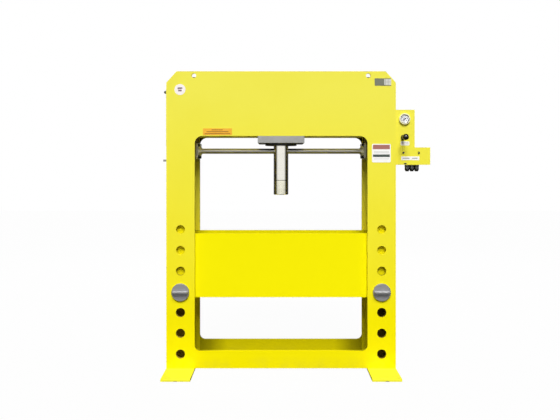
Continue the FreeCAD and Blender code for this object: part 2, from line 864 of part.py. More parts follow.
def cross_shaft():
    half = half_width - shaft_end_inset
    length = 2 * half
    profile = [(0, 0), (shaft_radius - shaft_chamfer, 0), (shaft_radius, shaft_chamfer),
               (shaft_radius, length - shaft_chamfer), (shaft_radius - shaft_chamfer, length), (0, length)]
    return turned(profile, Vector(-half, shaft_back, shaft_height), Vector(1, 0, 0))


def cable_drum(side):
    inner = shaft_radius + slip_fit
    far = drum_width - drum_flange_thickness
    profile = [(inner, 0), (drum_flange_radius, 0), (drum_flange_radius, drum_flange_thickness),
               (drum_core_radius, drum_flange_thickness), (drum_core_radius, far), (drum_flange_radius, far),
               (drum_flange_radius, drum_width), (inner, drum_width)]
    return turned(profile, Vector(side * drum_start, shaft_back, shaft_height), Vector(side, 0, 0))


def involute_flank(base_radius, tip_radius, root_radius, half_tooth, pitch_radius):
    """One flank of a tooth as (radius, angle) points, from the root to the tip."""
    flank = []
    steps = 6
    start = max(base_radius, root_radius)
    pitch_roll = math.sqrt((pitch_radius / base_radius) ** 2 - 1)
    pitch_turn = pitch_roll - math.atan(pitch_roll)
    if root_radius < base_radius:
        flank.append((root_radius, half_tooth + pitch_turn))
    for i in range(steps + 1):
        radius = start + (tip_radius - start) * i / steps
        roll = math.sqrt(max((radius / base_radius) ** 2 - 1, 0))
        flank.append((radius, half_tooth + pitch_turn - (roll - math.atan(roll))))
    return flank


def gear(teeth, phase):
    """A spur gear blank with involute teeth, about Z."""
    pitch_radius = gear_module * teeth / 2
    base_radius = pitch_radius * math.cos(pressure_angle)
    tip_radius = pitch_radius + tooth_addendum * gear_module
    root_radius = pitch_radius - tooth_dedendum * gear_module
    half_tooth = math.pi / (2 * teeth) - tooth_backlash / (2 * pitch_radius)
    flank = involute_flank(base_radius, tip_radius, root_radius, half_tooth, pitch_radius)
    points = []
    for i in range(teeth):
        middle = phase + 2 * math.pi * i / teeth
        sides = [(r, middle - a) for r, a in flank] + [(r, middle + a) for r, a in reversed(flank)]
        for radius, angle in sides:
            points.append(Vector(radius * math.cos(angle), radius * math.sin(angle), 0))
    return Part.Face(Part.makePolygon(points + points[:1])).extrude(Vector(0, 0, gear_width))


def lay_gear(solid, height):
    """Turns a gear from the Z axis to the X axis and puts it beside the left drum."""
    turn = FreeCAD.Rotation(Vector(0, 0, 1), Vector(-1, 0, 0))
    solid.Placement = FreeCAD.Placement(Vector(-gear_start, shaft_back, height), turn)
    return solid


def lift_gear():
    """The large gear on the cross shaft. A tooth space faces the pinion, straight below."""
    down = math.pi / gear_teeth
    solid = gear(gear_teeth, down)
    solid = solid.cut(Part.makeCylinder(shaft_radius + slip_fit, gear_width))
    return lay_gear(solid, shaft_height)


def crank_shaft():
    """The pinion, its shaft and the square end for a loose crank, in one piece."""
    wheel = lay_gear(gear(pinion_teeth, math.pi), crank_height)
    axis_start = Vector(-gear_start - gear_width, shaft_back, crank_height)
    collar_end = -(side_inner - crank_bush_inside - touch_gap)
    bush_end = -(half_width + crank_bush_flange)
    shaft_end = bush_end - crank_proud
    collar = bar(crank_radius + crank_collar, axis_start, Vector(collar_end, shaft_back, crank_height))
    shaft = bar(crank_radius, axis_start, Vector(shaft_end, shaft_back, crank_height))
    half = crank_square / 2
    square = block(shaft_end + lap, shaft_end - crank_square_length, shaft_back - half, shaft_back + half,
                   crank_height - half, crank_height + half)
    return wheel.fuse([collar, shaft, square]).removeSplitter()


def crank_bush():
    """The flanged bush in the left side plate."""
    start = Vector(-(side_inner - crank_bush_inside), shaft_back, crank_height)
    inside = crank_bush_inside + side_plate_thickness
    inner = crank_radius + running_fit
    profile = [(inner, 0), (crank_bush_radius, 0), (crank_bush_radius, inside),
               (crank_bush_flange_radius, inside), (crank_bush_flange_radius, inside + crank_bush_flange),
               (inner, inside + crank_bush_flange)]
    return turned(profile, start, Vector(-1, 0, 0))


def control_panel():
    """A folded sheet on the right column, tall for the gauge and valve and wide for the switch box."""
    x = half_width
    points = [Vector(x, panel_y, panel_bottom), Vector(x + panel_full_width, panel_y, panel_bottom),
              Vector(x + panel_full_width, panel_y, panel_step), Vector(x + panel_width, panel_y, panel_step),
              Vector(x + panel_width, panel_y, panel_top), Vector(x, panel_y, panel_top)]
    sheet = plate(points, [0] + [panel_corner] * 4 + [0], Vector(0, panel_sheet, 0))
    flange = block(x, x + panel_sheet, panel_y, panel_y + panel_flange, panel_bottom, panel_top)
    return sheet.fuse(flange).cut(panel_holes()).removeSplitter()


def panel_holes():
    back = Vector(0, panel_sheet, 0)
    gauge = Vector(half_width + gauge_offset, panel_y, gauge_height)
    lever = Vector(half_width + lever_offset, panel_y, lever_height)
    holes = [bar(gauge_case_radius + slip_fit, gauge, gauge + back),
             bar(valve_neck_radius + slip_fit, lever, lever + back)]
    for place in button_places():
        holes.append(bar(button_radius + running_fit, place, place + back))
    return holes


def button_places():
    middle = half_width + button_centre
    return [Vector(middle + side * button_spacing / 2, panel_y, button_height) for side in (-1, 1)]


def control_box():
    """The folded switch box behind the panel's wide part, open to the panel."""
    x0 = half_width + panel_sheet
    y0 = panel_y + panel_sheet
    solid = block(x0, x0 + box_width, y0, y0 + box_depth, panel_bottom, panel_step)
    hollow = block(x0 + box_wall, x0 + box_width - box_wall, y0, y0 + box_depth - box_wall,
                   panel_bottom + box_wall, panel_step - box_wall)
    tools = [hollow]
    for place in gland_places():
        tools.append(bar(gland_hole_radius + slip_fit, place, place + Vector(0, 0, box_wall)))
    return solid.cut(tools)


def gland_places():
    middle = half_width + cable_gland_centre
    y = panel_y + panel_sheet + cable_gland_radius + cable_gland_set_back
    return [Vector(middle + i * cable_gland_spacing, y, panel_bottom) for i in (-1, 0, 1)]


def cable_glands():
    """Plastic cable glands: a hexagon on the box, a round dome nut below, and a bore for a lead."""
    inside = box_wall + cable_gland_inside
    profile = [(0, -inside), (gland_hole_radius, -inside), (gland_hole_radius, 0), (cable_gland_radius, 0),
               (cable_gland_radius, cable_gland_length - cable_gland_nose),
               (cable_gland_nose_shoulder, cable_gland_length - cable_gland_nose_step),
               (cable_gland_nose_radius, cable_gland_length), (0, cable_gland_length)]
    glands = []
    for place in gland_places():
        body = turned(profile, place, Vector(0, 0, -1))
        lead = bar(lead_radius, place + Vector(0, 0, inside), place - Vector(0, 0, cable_gland_length))
        glands.append(body.cut(lead))
    return glands


def push_button(place):
    """A sprung button that stands proud of the panel, with a collar behind the sheet."""
    collar_front = button_proud + panel_sheet + button_collar_gap
    collar_back = collar_front + button_collar_thickness
    end = button_proud + button_depth
    profile = [(0, 0), (button_radius - button_edge, 0), (button_radius, button_edge),
               (button_radius, collar_front),
               (button_collar_radius, collar_front), (button_collar_radius, collar_back),
               (button_stem_radius, collar_back), (button_stem_radius, end), (0, end)]
    return turned(profile, place - Vector(0, button_proud, 0), Vector(0, 1, 0))


def gauge_case():
    """The round case: a wide rim before the panel, the body through it and a stem down into the valve."""
    centre = Vector(half_width + gauge_offset, panel_y, gauge_height)
    dial = gauge_dial_depth - gauge_proud
    profile = [(0, dial), (gauge_glass_radius, dial), (gauge_glass_radius, -gauge_proud),
               (gauge_radius - turned_chamfer, -gauge_proud), (gauge_radius, turned_chamfer - gauge_proud),
               (gauge_radius, 0),
               (gauge_case_radius, 0), (gauge_case_radius, gauge_case_depth), (0, gauge_case_depth)]
    case = turned(profile, centre, Vector(0, 1, 0))
    stem_y = Vector(0, panel_sheet + gauge_case_depth / 2, 0)
    stem = bar(gauge_stem_radius, centre + stem_y, centre + stem_y - Vector(0, 0, gauge_height - valve_top))
    spindle_hole = bar(needle_spindle_radius + running_fit, centre + Vector(0, dial, 0),
                       centre + Vector(0, dial + gauge_spindle_hole, 0))
    return case.fuse(stem).cut(spindle_hole).removeSplitter()


def gauge_glass():
    centre = Vector(half_width + gauge_offset, panel_y - gauge_proud + gauge_glass_set_back, gauge_height)
    return bar(gauge_glass_radius - slip_fit, centre, centre + Vector(0, gauge_glass_thickness, 0))


def gauge_needle():
    """The needle at zero, pointing down to the left, with its short tail and its spindle."""
    centre = Vector(half_width + gauge_offset, panel_y + gauge_dial_depth - gauge_proud, gauge_height)
    front = -needle_lift - needle_thickness
    tip = gauge_glass_radius - needle_tip_gap
    points = [Vector(-needle_half_width, front, -needle_tail), Vector(needle_half_width, front, -needle_tail),
              Vector(needle_tip_half_width, front, tip), Vector(-needle_tip_half_width, front, tip)]
    blade = plate(points, [0] * 4, Vector(0, needle_thickness, 0))
    boss = bar(needle_boss_radius, Vector(0, front, 0), Vector(0, -needle_boss_gap, 0))
    spindle = bar(needle_spindle_radius, Vector(0, -lap, 0), Vector(0, needle_spindle_depth, 0))
    needle = blade.fuse([boss, spindle]).removeSplitter()
    needle.Placement = FreeCAD.Placement(centre, FreeCAD.Rotation(Vector(0, 1, 0), needle_rest_angle))
    return needle


def valve_body():
    """The spool valve behind the panel, with its round neck through the sheet."""
    centre = Vector(half_width + lever_offset, panel_y + panel_sheet, lever_height)
    solid = block(valve_left, valve_left + valve_width, centre.y, valve_back,
                  lever_height - valve_height / 2, valve_top)
    neck = bar(valve_neck_radius, centre - Vector(0, panel_sheet, 0), centre + Vector(0, lap, 0))
    return solid.fuse(neck).removeSplitter()


def valve_yoke():
    """The black cast yoke on the panel: two spread arms and two cheeks for the lever's pin."""
    centre = Vector(half_width + lever_offset, panel_y, lever_height)
    forward = Vector(0, -yoke_thickness, 0)
    base = bar(yoke_base_radius, centre, centre + forward)
    pieces = []
    for side in (-1, 1):
        end = centre + Vector(-yoke_reach, 0, side * yoke_spread)
        run = (end - centre).normalize()
        across = Vector(-run.z, 0, run.x) * yoke_arm_half_width
        points = [centre + across, centre - across, end - across, end + across]
        arm = plate(points, [0, 0, yoke_arm_round, yoke_arm_round], forward)
        cheek_x = centre.x + side * (yoke_slot / 2)
        cheek = block(cheek_x, cheek_x + side * yoke_cheek, centre.y, lever_y - yoke_cheek_reach,
                      lever_height - yoke_cheek_half_height, lever_height + yoke_cheek_half_height)
        pieces += [arm, cheek]
    yoke = base.fuse(pieces)
    outer = yoke_slot / 2 + yoke_cheek
    pin = bar(lever_pin_radius, Vector(centre.x - outer, lever_y, lever_height),
              Vector(centre.x + outer, lever_y, lever_height))
    return yoke.fuse(pin).removeSplitter()


def valve_lever():
    """The lever: a flat eye on the yoke's pin and a round stem towards the operator."""
    x = half_width + lever_offset
    half = yoke_slot / 2 - touch_gap
    left_end = Vector(x - half, lever_y, lever_height)
    right_end = Vector(x + half, lever_y, lever_height)
    eye = bar(lever_eye_radius, left_end, right_end)
    stem = bar(lever_radius, Vector(x, lever_y, lever_height), Vector(x, lever_y - lever_length, lever_height))
    hole = bar(lever_pin_radius + running_fit, left_end, right_end)
    return eye.fuse(stem).cut(hole).removeSplitter()


def lever_knob():
    """The ball knob, flat where it meets the stem's shoulder."""
    x = half_width + lever_offset
    centre = Vector(x, lever_y - lever_length - knob_centre_out, lever_height)
    ball = Part.makeSphere(knob_radius, centre)
    past = 2 * knob_radius
    flat = block(x - past, x + past, centre.y + knob_radius - knob_flat, centre.y + past,
                 lever_height - past, lever_height + past)
    bore = bar(lever_radius + slip_fit, Vector(x, lever_y - lever_length - slip_fit, lever_height),
               Vector(x, lever_y, lever_height))
    return ball.cut([flat, bore])


def power_unit_shelf():
    """The welded shelf on the rear plate that carries the tank."""
    half = shelf_width / 2
    shelf = block(-half, half, face_y, face_y + shelf_depth, shelf_height, shelf_top)
    back = block(-half, half, face_y, face_y + shelf_thickness, shelf_height, shelf_height + shelf_back_height)
    gussets = []
    for x in (-half, half - shelf_thickness):
        points = [Vector(x, face_y, shelf_height), Vector(x, face_y + shelf_gusset_reach, shelf_height),
                  Vector(x, face_y, shelf_height + shelf_gusset_height)]
        gussets.append(Part.Face(Part.makePolygon(points + points[:1])).extrude(Vector(shelf_thickness, 0, 0)))
    return shelf.fuse([back] + gussets).removeSplitter()


def tank_outline(grow, z):
    half = tank_width / 2 + grow
    y0 = tank_front - grow
    y1 = tank_front + tank_depth + grow
    return [Vector(-half, y0, z), Vector(half, y0, z), Vector(half, y1, z), Vector(-half, y1, z)]


def oil_tank():
    outer = plate(tank_outline(0, shelf_top), [tank_round] * 4, Vector(0, 0, tank_height))
    inner = plate(tank_outline(-tank_wall, shelf_top + tank_wall), [tank_round - tank_wall] * 4,
                  Vector(0, 0, tank_height))
    return outer.cut(inner)


def tank_lid():
    lid = plate(tank_outline(lid_overhang, lid_top - lid_thickness), [tank_round + lid_overhang] * 4,
                Vector(0, 0, lid_thickness))
    low = Vector(filler_x, filler_y, lid_top - lid_thickness)
    high = Vector(filler_x, filler_y, lid_top + filler_neck_height)
    neck = bar(filler_neck_radius, low, high)
    hole = bar(filler_neck_bore, low, high)
    return lid.fuse(neck).cut(hole).removeSplitter()


def filler_cap():
    """The bayonet cap over the filler neck, with a breather in its top."""
    low = lid_top + touch_gap
    top = lid_top + filler_height
    inner = filler_neck_radius + touch_gap
    roof = lid_top + filler_neck_height + touch_gap
    profile = [(inner, low), (filler_radius, low), (filler_radius, top - filler_chamfer),
               (filler_radius - filler_chamfer, top), (0, top), (0, roof), (inner, roof)]
    return turned(profile, Vector(filler_x, filler_y, 0), Vector(0, 0, 1))


def motor():
    """A foot-mounted electric motor: finned body, fan cover, end bell, terminal box and feet."""
    centre = Vector(0, tank_middle, motor_height)
    body_radius = motor_radius - fin_height
    bell_radius = motor_radius - motor_bell_step
    profile = [(0, -motor_fan_cover), (motor_radius - motor_fan_round, -motor_fan_cover),
               (motor_radius, motor_fan_nose - motor_fan_cover), (motor_radius, 0), (body_radius, 0),
               (body_radius, motor_length), (bell_radius, motor_length),
               (bell_radius, motor_length + motor_bell_rim),
               (motor_neck_radius, motor_length + motor_neck), (0, motor_length + motor_neck)]
    pieces = []
    for i in range(fin_count):
        fin = block(motor_left, motor_right, -fin_half_width, fin_half_width,
                    body_radius - fin_sunk, motor_radius - fin_drop)
        fin.rotate(Vector(0, 0, 0), Vector(1, 0, 0), 360 * i / fin_count)
        fin.translate(centre)
        pieces.append(fin)
    box_start = motor_left + terminal_box_start
    pieces.append(block(box_start, box_start + terminal_box_length, tank_middle - terminal_box_half_width,
                        tank_middle + terminal_box_half_width, motor_height + terminal_box_bottom,
                        motor_height + terminal_box_top))
    for side in (-1, 1):
        foot_y = tank_middle + side * motor_foot_width / 2
        pieces.append(block(motor_left + motor_foot_inset, motor_right - motor_foot_inset, foot_y,
                            foot_y - side * motor_foot_depth, lid_top, lid_top + motor_foot_thickness))
        web_y = tank_middle + side * motor_web_offset
        pieces.append(block(motor_left + motor_web_inset, motor_right - motor_web_inset, web_y,
                            web_y + side * motor_web_thickness, lid_top + motor_foot_thickness / 2,
                            motor_height - motor_web_drop))
    shell = turned(profile, centre + Vector(motor_left, 0, 0), Vector(1, 0, 0))
    return shell.fuse(pieces).removeSplitter()


def pump():
    """A gear pump on the motor's end bell, with its round flange."""
    body_left = pump_left + pump_flange_thickness
    flange = bar(pump_flange_radius, Vector(pump_left, tank_middle, motor_height),
                 Vector(body_left, tank_middle, motor_height))
    half = pump_side / 2
    middle = motor_height - pump_drop
    body = block(body_left, body_left + pump_length, tank_middle - half, tank_middle + half,
                 middle - half, middle + half)
    long_edges = [e for e in body.Edges if abs(e.tangentAt(e.FirstParameter).x) > 0.9]
    return flange.fuse(body.makeChamfer(pump_chamfer, long_edges)).removeSplitter()


def bent_pipe(points):
    """A round tube along straight runs with an equal bend at each corner."""
    edges = []
    start = points[0]
    for i in range(1, len(points) - 1):
        corner = points[i]
        before = (points[i - 1] - corner).normalize()
        after = (points[i + 1] - corner).normalize()
        half = before.getAngle(after) / 2
        tangent = pipe_bend / math.tan(half)
        deep = pipe_bend / math.sin(half) - pipe_bend
        middle = (before + after).normalize()
        bend_start = corner + before * tangent
        bend_end = corner + after * tangent
        edges.append(Part.makeLine(start, bend_start))
        edges.append(Part.Arc(bend_start, corner + middle * deep, bend_end).toShape())
        start = bend_end
    edges.append(Part.makeLine(start, points[-1]))
    path = Part.Wire(edges)
    profile = Part.Wire(Part.Circle(points[0], points[1] - points[0], pipe_radius).toShape())
    return path.makePipeShell([profile], True, True)


def hydraulic_pipes():
    """Four steel tubes: pump to valve, valve to tank, and valve to each end of the cylinder."""
    first, second, third, fourth = [valve_left + pipe_pitch * (i + 1) for i in range(4)]
    low = lever_height - pipe_valve_drop
    pump_end = pump_left + pump_flange_thickness + pump_length
    pump_z = motor_height - pump_drop
    riser = half_width - pipe_lane_inset
    drain_riser = riser - pipe_lane_pitch
    drain_y = tank_middle - drain_set_forward
    drain_z = shelf_top + tank_height - drain_below_lid
    pressure = [Vector(third, valve_back, low), Vector(third, tank_middle, low),
                Vector(riser, tank_middle, low), Vector(riser, tank_middle, pump_z),
                Vector(pump_end, tank_middle, pump_z)]
    drain = [Vector(first, valve_back, low), Vector(first, drain_y, low), Vector(drain_riser, drain_y, low),
             Vector(drain_riser, drain_y, drain_z), Vector(tank_width / 2, drain_y, drain_z)]
    up_z, down_z = side_pipe_heights
    drop_x = side_inner - pipe_bend * side_drop_bends
    retract = [Vector(barrel_radius, 0, up_z), Vector(fourth, 0, up_z), Vector(fourth, valve_back, up_z)]
    advance = [Vector(barrel_radius, 0, high_port), Vector(drop_x, 0, high_port), Vector(drop_x, 0, down_z),
               Vector(second, 0, down_z), Vector(second, valve_back, down_z)]
    return [bent_pipe(route) for route in (pressure, drain, retract, advance)]


def save(name, solids):
    if not isinstance(solids, list):
        solids = [solids]
    flat = [solid for shape in solids for solid in shape.Solids]
    shape = flat[0] if len(flat) == 1 else Part.makeCompound(flat)
    shape.exportStep(os.path.join("parts", name + ".step"))
    print(name, len(flat), round(sum(s.Volume for s in flat) / 1000), all(s.isValid() for s in flat))


os.makedirs("parts", exist_ok=True)
left, right = -1, 1

save("front_frame_plate", frame_plate(-face_y))
save("rear_frame_plate", frame_plate(gap_half))
save("left_side_plate", side_plate(left))
save("right_side_plate", side_plate(right))
save("left_foot_plate", foot_plate(left))
save("right_foot_plate", foot_plate(right))
save("crown_ribs", [crown_rib(left), crown_rib(right)])
save("access_cover", access_cover())
save("cover_studs", cover_studs())
save("head_block", head_block())
save("head_block_screws", head_block_screws())
save("cylinder_barrel", cylinder_barrel())
save("cylinder_cap", cylinder_cap())
save("cylinder_gland", cylinder_gland())
save("rod_seal", rod_seal())
save("piston", piston())
save("piston_seal", piston_seal())
save("ram_rod", ram_rod())
save("ram_nose", ram_nose())
save("bed_front_plate", bed_plate(-bed_half_depth))
save("bed_rear_plate", bed_plate(bed_inner_y))
save("bed_left_diaphragm", bed_diaphragm(left))
save("bed_right_diaphragm", bed_diaphragm(right))
save("cable_sockets", cable_socket(left) + cable_socket(right))
save("left_lift_cable", lift_cable(left))
save("right_lift_cable", lift_cable(right))
save("left_bed_pin", bed_pin(left))
save("right_bed_pin", bed_pin(right))
save("left_pin_handle", pin_handle(left))
save("right_pin_handle", pin_handle(right))
save("bearing_plates", [bearing_plate(left), bearing_plate(right)])
save("left_bearing_housing", bearing_housing(left))
save("right_bearing_housing", bearing_housing(right))
save("bearing_bolts", bearing_bolts())
save("bearing_rings", [bearing_ring(left), bearing_ring(right)])
save("cross_shaft", cross_shaft())
save("left_cable_drum", cable_drum(left))
save("right_cable_drum", cable_drum(right))
save("lift_gear", lift_gear())
save("crank_shaft", crank_shaft())
save("crank_bush", crank_bush())
save("control_panel", control_panel())
save("control_box", control_box())
save("cable_glands", cable_glands())
save("start_button", push_button(button_places()[0]))
save("stop_button", push_button(button_places()[1]))
save("gauge_case", gauge_case())
save("gauge_glass", gauge_glass())
save("gauge_needle", gauge_needle())
save("valve_body", valve_body())
save("valve_yoke", valve_yoke())
save("valve_lever", valve_lever())
save("lever_knob", lever_knob())
save("power_unit_shelf", power_unit_shelf())
save("oil_tank", oil_tank())
save("tank_lid", tank_lid())
save("filler_cap", filler_cap())
save("motor", motor())
save("pump", pump())
save("hydraulic_pipes", hydraulic_pipes())
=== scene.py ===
import bpy
import bmesh
import json
import math
from mathutils import Matrix, Vector


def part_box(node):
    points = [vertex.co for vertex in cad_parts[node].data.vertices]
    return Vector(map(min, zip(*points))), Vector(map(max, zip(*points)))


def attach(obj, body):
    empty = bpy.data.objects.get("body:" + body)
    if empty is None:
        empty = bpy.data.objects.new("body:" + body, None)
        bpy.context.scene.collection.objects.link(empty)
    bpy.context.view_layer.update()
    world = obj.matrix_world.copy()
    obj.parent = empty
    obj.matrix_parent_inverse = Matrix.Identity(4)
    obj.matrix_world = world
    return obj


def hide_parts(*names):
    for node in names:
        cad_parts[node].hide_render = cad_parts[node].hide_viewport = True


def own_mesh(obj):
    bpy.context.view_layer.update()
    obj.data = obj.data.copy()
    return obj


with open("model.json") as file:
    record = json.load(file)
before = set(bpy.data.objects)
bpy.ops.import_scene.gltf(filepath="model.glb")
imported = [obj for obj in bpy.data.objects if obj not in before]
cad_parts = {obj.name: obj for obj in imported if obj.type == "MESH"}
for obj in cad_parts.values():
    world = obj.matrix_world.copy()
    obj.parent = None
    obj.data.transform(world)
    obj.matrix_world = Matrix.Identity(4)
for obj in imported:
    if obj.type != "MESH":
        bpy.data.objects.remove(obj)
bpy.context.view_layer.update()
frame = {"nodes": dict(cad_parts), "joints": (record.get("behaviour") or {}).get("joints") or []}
nodes = frame["nodes"]
scene = bpy.context.scene


# ---- Camera --------------------------------------------------------------------------------------
# The press is looked at square on from about four metres, at the height of the cylinder's end, with the
# camera level and the lens shifted down so that the columns stay upright.
camera_data = bpy.data.cameras.new("camera")
camera_data.sensor_width = 36.0
camera_data.lens = 39.9
camera_data.shift_x = 0.0036
camera_data.shift_y = -0.0786
camera_data.clip_end = 60.0
camera = bpy.data.objects.new("camera", camera_data)
camera.location = (-0.0197, -4.082, 1.3005)
camera.rotation_euler = (math.radians(90), 0.0, 0.0)
scene.collection.objects.link(camera)
scene.camera = camera
scene.view_settings.view_transform = "Standard"


# ---- Studio --------------------------------------------------------------------------------------
# A pale floor under a soft key light high in front, a low wide fill for the feet and a broad light behind.
# The sky is bright in front and dim behind, so that polished steel shows a light middle and dark sides.
key_direction = (-0.02, 0.68, -0.73)
key_data = bpy.data.lights.new("key_light", "SUN")
key_data.energy = 3.85
key_data.angle = math.radians(30)
key = bpy.data.objects.new("key_light", key_data)
key.rotation_euler = Vector(key_direction).to_track_quat("-Z", "Y").to_euler()
scene.collection.objects.link(key)


def soft_light(name, place, target, width, height, power):
    """A lit panel that faces a point and doesn't show in polished steel."""
    data = bpy.data.lights.new(name, "AREA")
    data.shape = "RECTANGLE"
    data.size = width
    data.size_y = height
    data.energy = power
    light = bpy.data.objects.new(name, data)
    light.location = place
    light.rotation_euler = (Vector(target) - Vector(place)).to_track_quat("-Z", "Y").to_euler()
    light.visible_glossy = False
    scene.collection.objects.link(light)


soft_light("low_fill", (0.0, -5.0, 0.7), (0.0, 0.0, 0.1), 5.0, 0.8, 3.0)
soft_light("back_light", (0.0, 4.8, 3.4), (0.0, 0.0, 1.0), 4.0, 1.6, 110.0)


def glow(tree, kind, strength):
    """An even white glow: the sky's background or the floor's emission."""
    node = tree.nodes.new(kind)
    node.inputs["Color"].default_value = (1.0, 1.0, 1.0, 1.0)
    node.inputs["Strength"].default_value = strength
    return node


def choose(tree, ray, first, second):
    """The second shader where the light path is of the named kind, and the first elsewhere."""
    path = tree.nodes.new("ShaderNodeLightPath")
    pick = tree.nodes.new("ShaderNodeMixShader")
    tree.links.new(path.outputs[ray], pick.inputs[0])
    tree.links.new(first.outputs[0], pick.inputs[1])
    tree.links.new(second.outputs[0], pick.inputs[2])
    return pick


ambient_strength = 0.055
dim_from = -0.18
bright_from = -0.62
dim_strength = 0.05
sky = bpy.data.worlds.new("sky")
scene.world = sky
sky.use_nodes = True
tree = sky.node_tree
where = tree.nodes.new("ShaderNodeTexCoord")
split = tree.nodes.new("ShaderNodeSeparateXYZ")
front = tree.nodes.new("ShaderNodeMapRange")
for socket, value in {1: dim_from, 2: bright_from, 3: dim_strength, 4: 1.0}.items():
    front.inputs[socket].default_value = value
tree.links.new(where.outputs["Generated"], split.inputs[0])
tree.links.new(split.outputs[1], front.inputs[0])
mirrored = glow(tree, "ShaderNodeBackground", 1.0)
tree.links.new(front.outputs[0], mirrored.inputs["Strength"])
dim_sky = glow(tree, "ShaderNodeBackground", ambient_strength)
white_sky = glow(tree, "ShaderNodeBackground", 1.0)
ambient = choose(tree, "Is Glossy Ray", dim_sky, mirrored)
seen = choose(tree, "Is Camera Ray", ambient, white_sky)
tree.links.new(seen.outputs[0], tree.nodes["World Output"].inputs["Surface"])

# The floor looks nearly white and keeps a soft shadow, but is dark where polished steel mirrors it.
floor_half_side = 14.0
floor_drop = 0.0005
floor_glow = 1.12
shadow_softness = 0.86
floor_mesh = bmesh.new()
bmesh.ops.create_grid(floor_mesh, x_segments=1, y_segments=1, size=floor_half_side)
floor_data = bpy.data.meshes.new("floor")
floor_mesh.to_mesh(floor_data)
floor_mesh.free()
floor = bpy.data.objects.new("floor", floor_data)
floor.location = (0.0, 0.0, -floor_drop)
scene.collection.objects.link(floor)
floor_paint = bpy.data.materials.new("floor")
floor_paint.use_nodes = True
tree = floor_paint.node_tree
floor_shader = tree.nodes["Principled BSDF"]
floor_shader.inputs["Base Color"].default_value = (0.17, 0.17, 0.17, 1.0)
floor_shader.inputs["Roughness"].default_value = 0.85
floor_shader.inputs["Specular IOR Level"].default_value = 0.1
dark_floor = tree.nodes.new("ShaderNodeBsdfDiffuse")
dark_floor.inputs["Color"].default_value = (0.05, 0.05, 0.05, 1.0)
soft_shadow = tree.nodes.new("ShaderNodeMixShader")
soft_shadow.inputs[0].default_value = shadow_softness
tree.links.new(floor_shader.outputs[0], soft_shadow.inputs[1])
tree.links.new(glow(tree, "ShaderNodeEmission", floor_glow).outputs[0], soft_shadow.inputs[2])
lit_floor = choose(tree, "Is Glossy Ray", floor_shader, dark_floor)
floor_seen = choose(tree, "Is Camera Ray", lit_floor, soft_shadow)
tree.links.new(floor_seen.outputs[0], tree.nodes["Material Output"].inputs["Surface"])
floor_data.materials.append(floor_paint)


# ---- Painted frame -------------------------------------------------------------------------------
# Two flame-cut steel plates with outer plates, feet, ribs, covers and the bed's plates, welded up and
# sprayed with one coat of yellow enamel. The enamel has a fine peel and is duller near the floor. A
# painted sheen makes it paler upwards and on the tops of the feet, and painted shade darkens it inside
# the columns and lower pin holes, under the crown, at the window's foot and on the bed's ears, rear
# plate and top edge.
class Value:
    """A number that varies over a surface. Maths on it adds the nodes that work it out."""

    def __init__(self, finish, socket):
        self.finish = finish
        self.socket = socket

    def maths(self, operation, *terms):
        return self.finish.add("ShaderNodeMath", {"operation": operation}, dict(enumerate(terms)))

    def __add__(self, other):
        return self.maths("ADD", self, other)

    def __radd__(self, other):
        return self.maths("ADD", other, self)

    def __sub__(self, other):
        return self.maths("SUBTRACT", self, other)

    def __rsub__(self, other):
        return self.maths("SUBTRACT", other, self)

    def __mul__(self, other):
        return self.maths("MULTIPLY", self, other)

    def __rmul__(self, other):
        return self.maths("MULTIPLY", other, self)

    def __truediv__(self, other):
        return self.maths("DIVIDE", self, other)

    def __gt__(self, other):
        return self.maths("GREATER_THAN", self, other)

    def __lt__(self, other):
        return self.maths("LESS_THAN", self, other)

    def __abs__(self):
        return self.maths("ABSOLUTE", self)

    def larger(self, other):
        return self.maths("MAXIMUM", self, other)

    def root(self):
        return self.maths("SQRT", self)

    def from_nearest(self):
        """How far the number is from the nearest whole one."""
        return abs(self - self.maths("ROUND", self))

    def wave(self):
        """A sine drawn between 0 and 1."""
        return self.maths("SINE", self) * 0.5 + 0.5

    def within(self, low, high):
        """1 between the two numbers and 0 outside them."""
        return (self > low) * (self < high)

    def ramp(self, low, high):
        """0 at low and 1 at high, straight between them."""
        sockets = {0: self, 1: low, 2: high, 3: 0.0, 4: 1.0}
        return self.finish.add("ShaderNodeMapRange", {"clamp": True}, sockets)


class Finish:
    """A material built on one shader, with one method that adds any other node."""

    def __init__(self, name, constants):
        self.material = bpy.data.materials.new(name)
        self.material.use_nodes = True
        self.tree = self.material.node_tree
        self.shader = self.tree.nodes["Principled BSDF"]
        for socket, value in constants.items():
            self.shader.inputs[socket].default_value = value

    def add(self, kind, settings=None, sockets=None, output=0):
        node = self.tree.nodes.new(kind)
        for key, value in (settings or {}).items():
            setattr(node, key, value)
        for key, value in (sockets or {}).items():
            self.join(value, node.inputs[key])
        return Value(self, node.outputs[output])

    def join(self, value, socket):
        if isinstance(value, Value):
            self.tree.links.new(value.socket, socket)
        else:
            socket.default_value = value

    def feed(self, socket, value):
        self.join(value, self.shader.inputs[socket])

    def place(self, scale=(1.0, 1.0, 1.0), centre=(0.0, 0.0, 0.0)):
        """The point on the object, measured from a centre and stretched."""
        where = self.add("ShaderNodeTexCoord", output="Object")
        moved = self.add("ShaderNodeVectorMath", {"operation": "SUBTRACT"}, {0: where, 1: centre})
        return self.add("ShaderNodeVectorMath", {"operation": "MULTIPLY"}, {0: moved, 1: scale})

    def parts(self, vector):
        """The three numbers of a vector."""
        node = self.add("ShaderNodeSeparateXYZ", sockets={0: vector}).socket.node
        return [Value(self, node.outputs[i]) for i in range(3)]

    def noise(self, scale, detail=2.0, roughness=0.5, where=None):
        where = where or self.place()
        sockets = {"Vector": where, "Scale": scale, "Detail": detail, "Roughness": roughness}
        return self.add("ShaderNodeTexNoise", {"noise_dimensions": "3D"}, sockets)

    def blend(self, factor, first, second):
        """One colour passing into another."""
        return self.add("ShaderNodeMix", {"data_type": "RGBA", "clamp_factor": True},
                        {0: factor, 6: first, 7: second}, output=2)

    def bump(self, height, distance, strength):
        sockets = {"Height": height, "Distance": distance, "Strength": strength}
        self.feed("Normal", self.add("ShaderNodeBump", sockets=sockets))


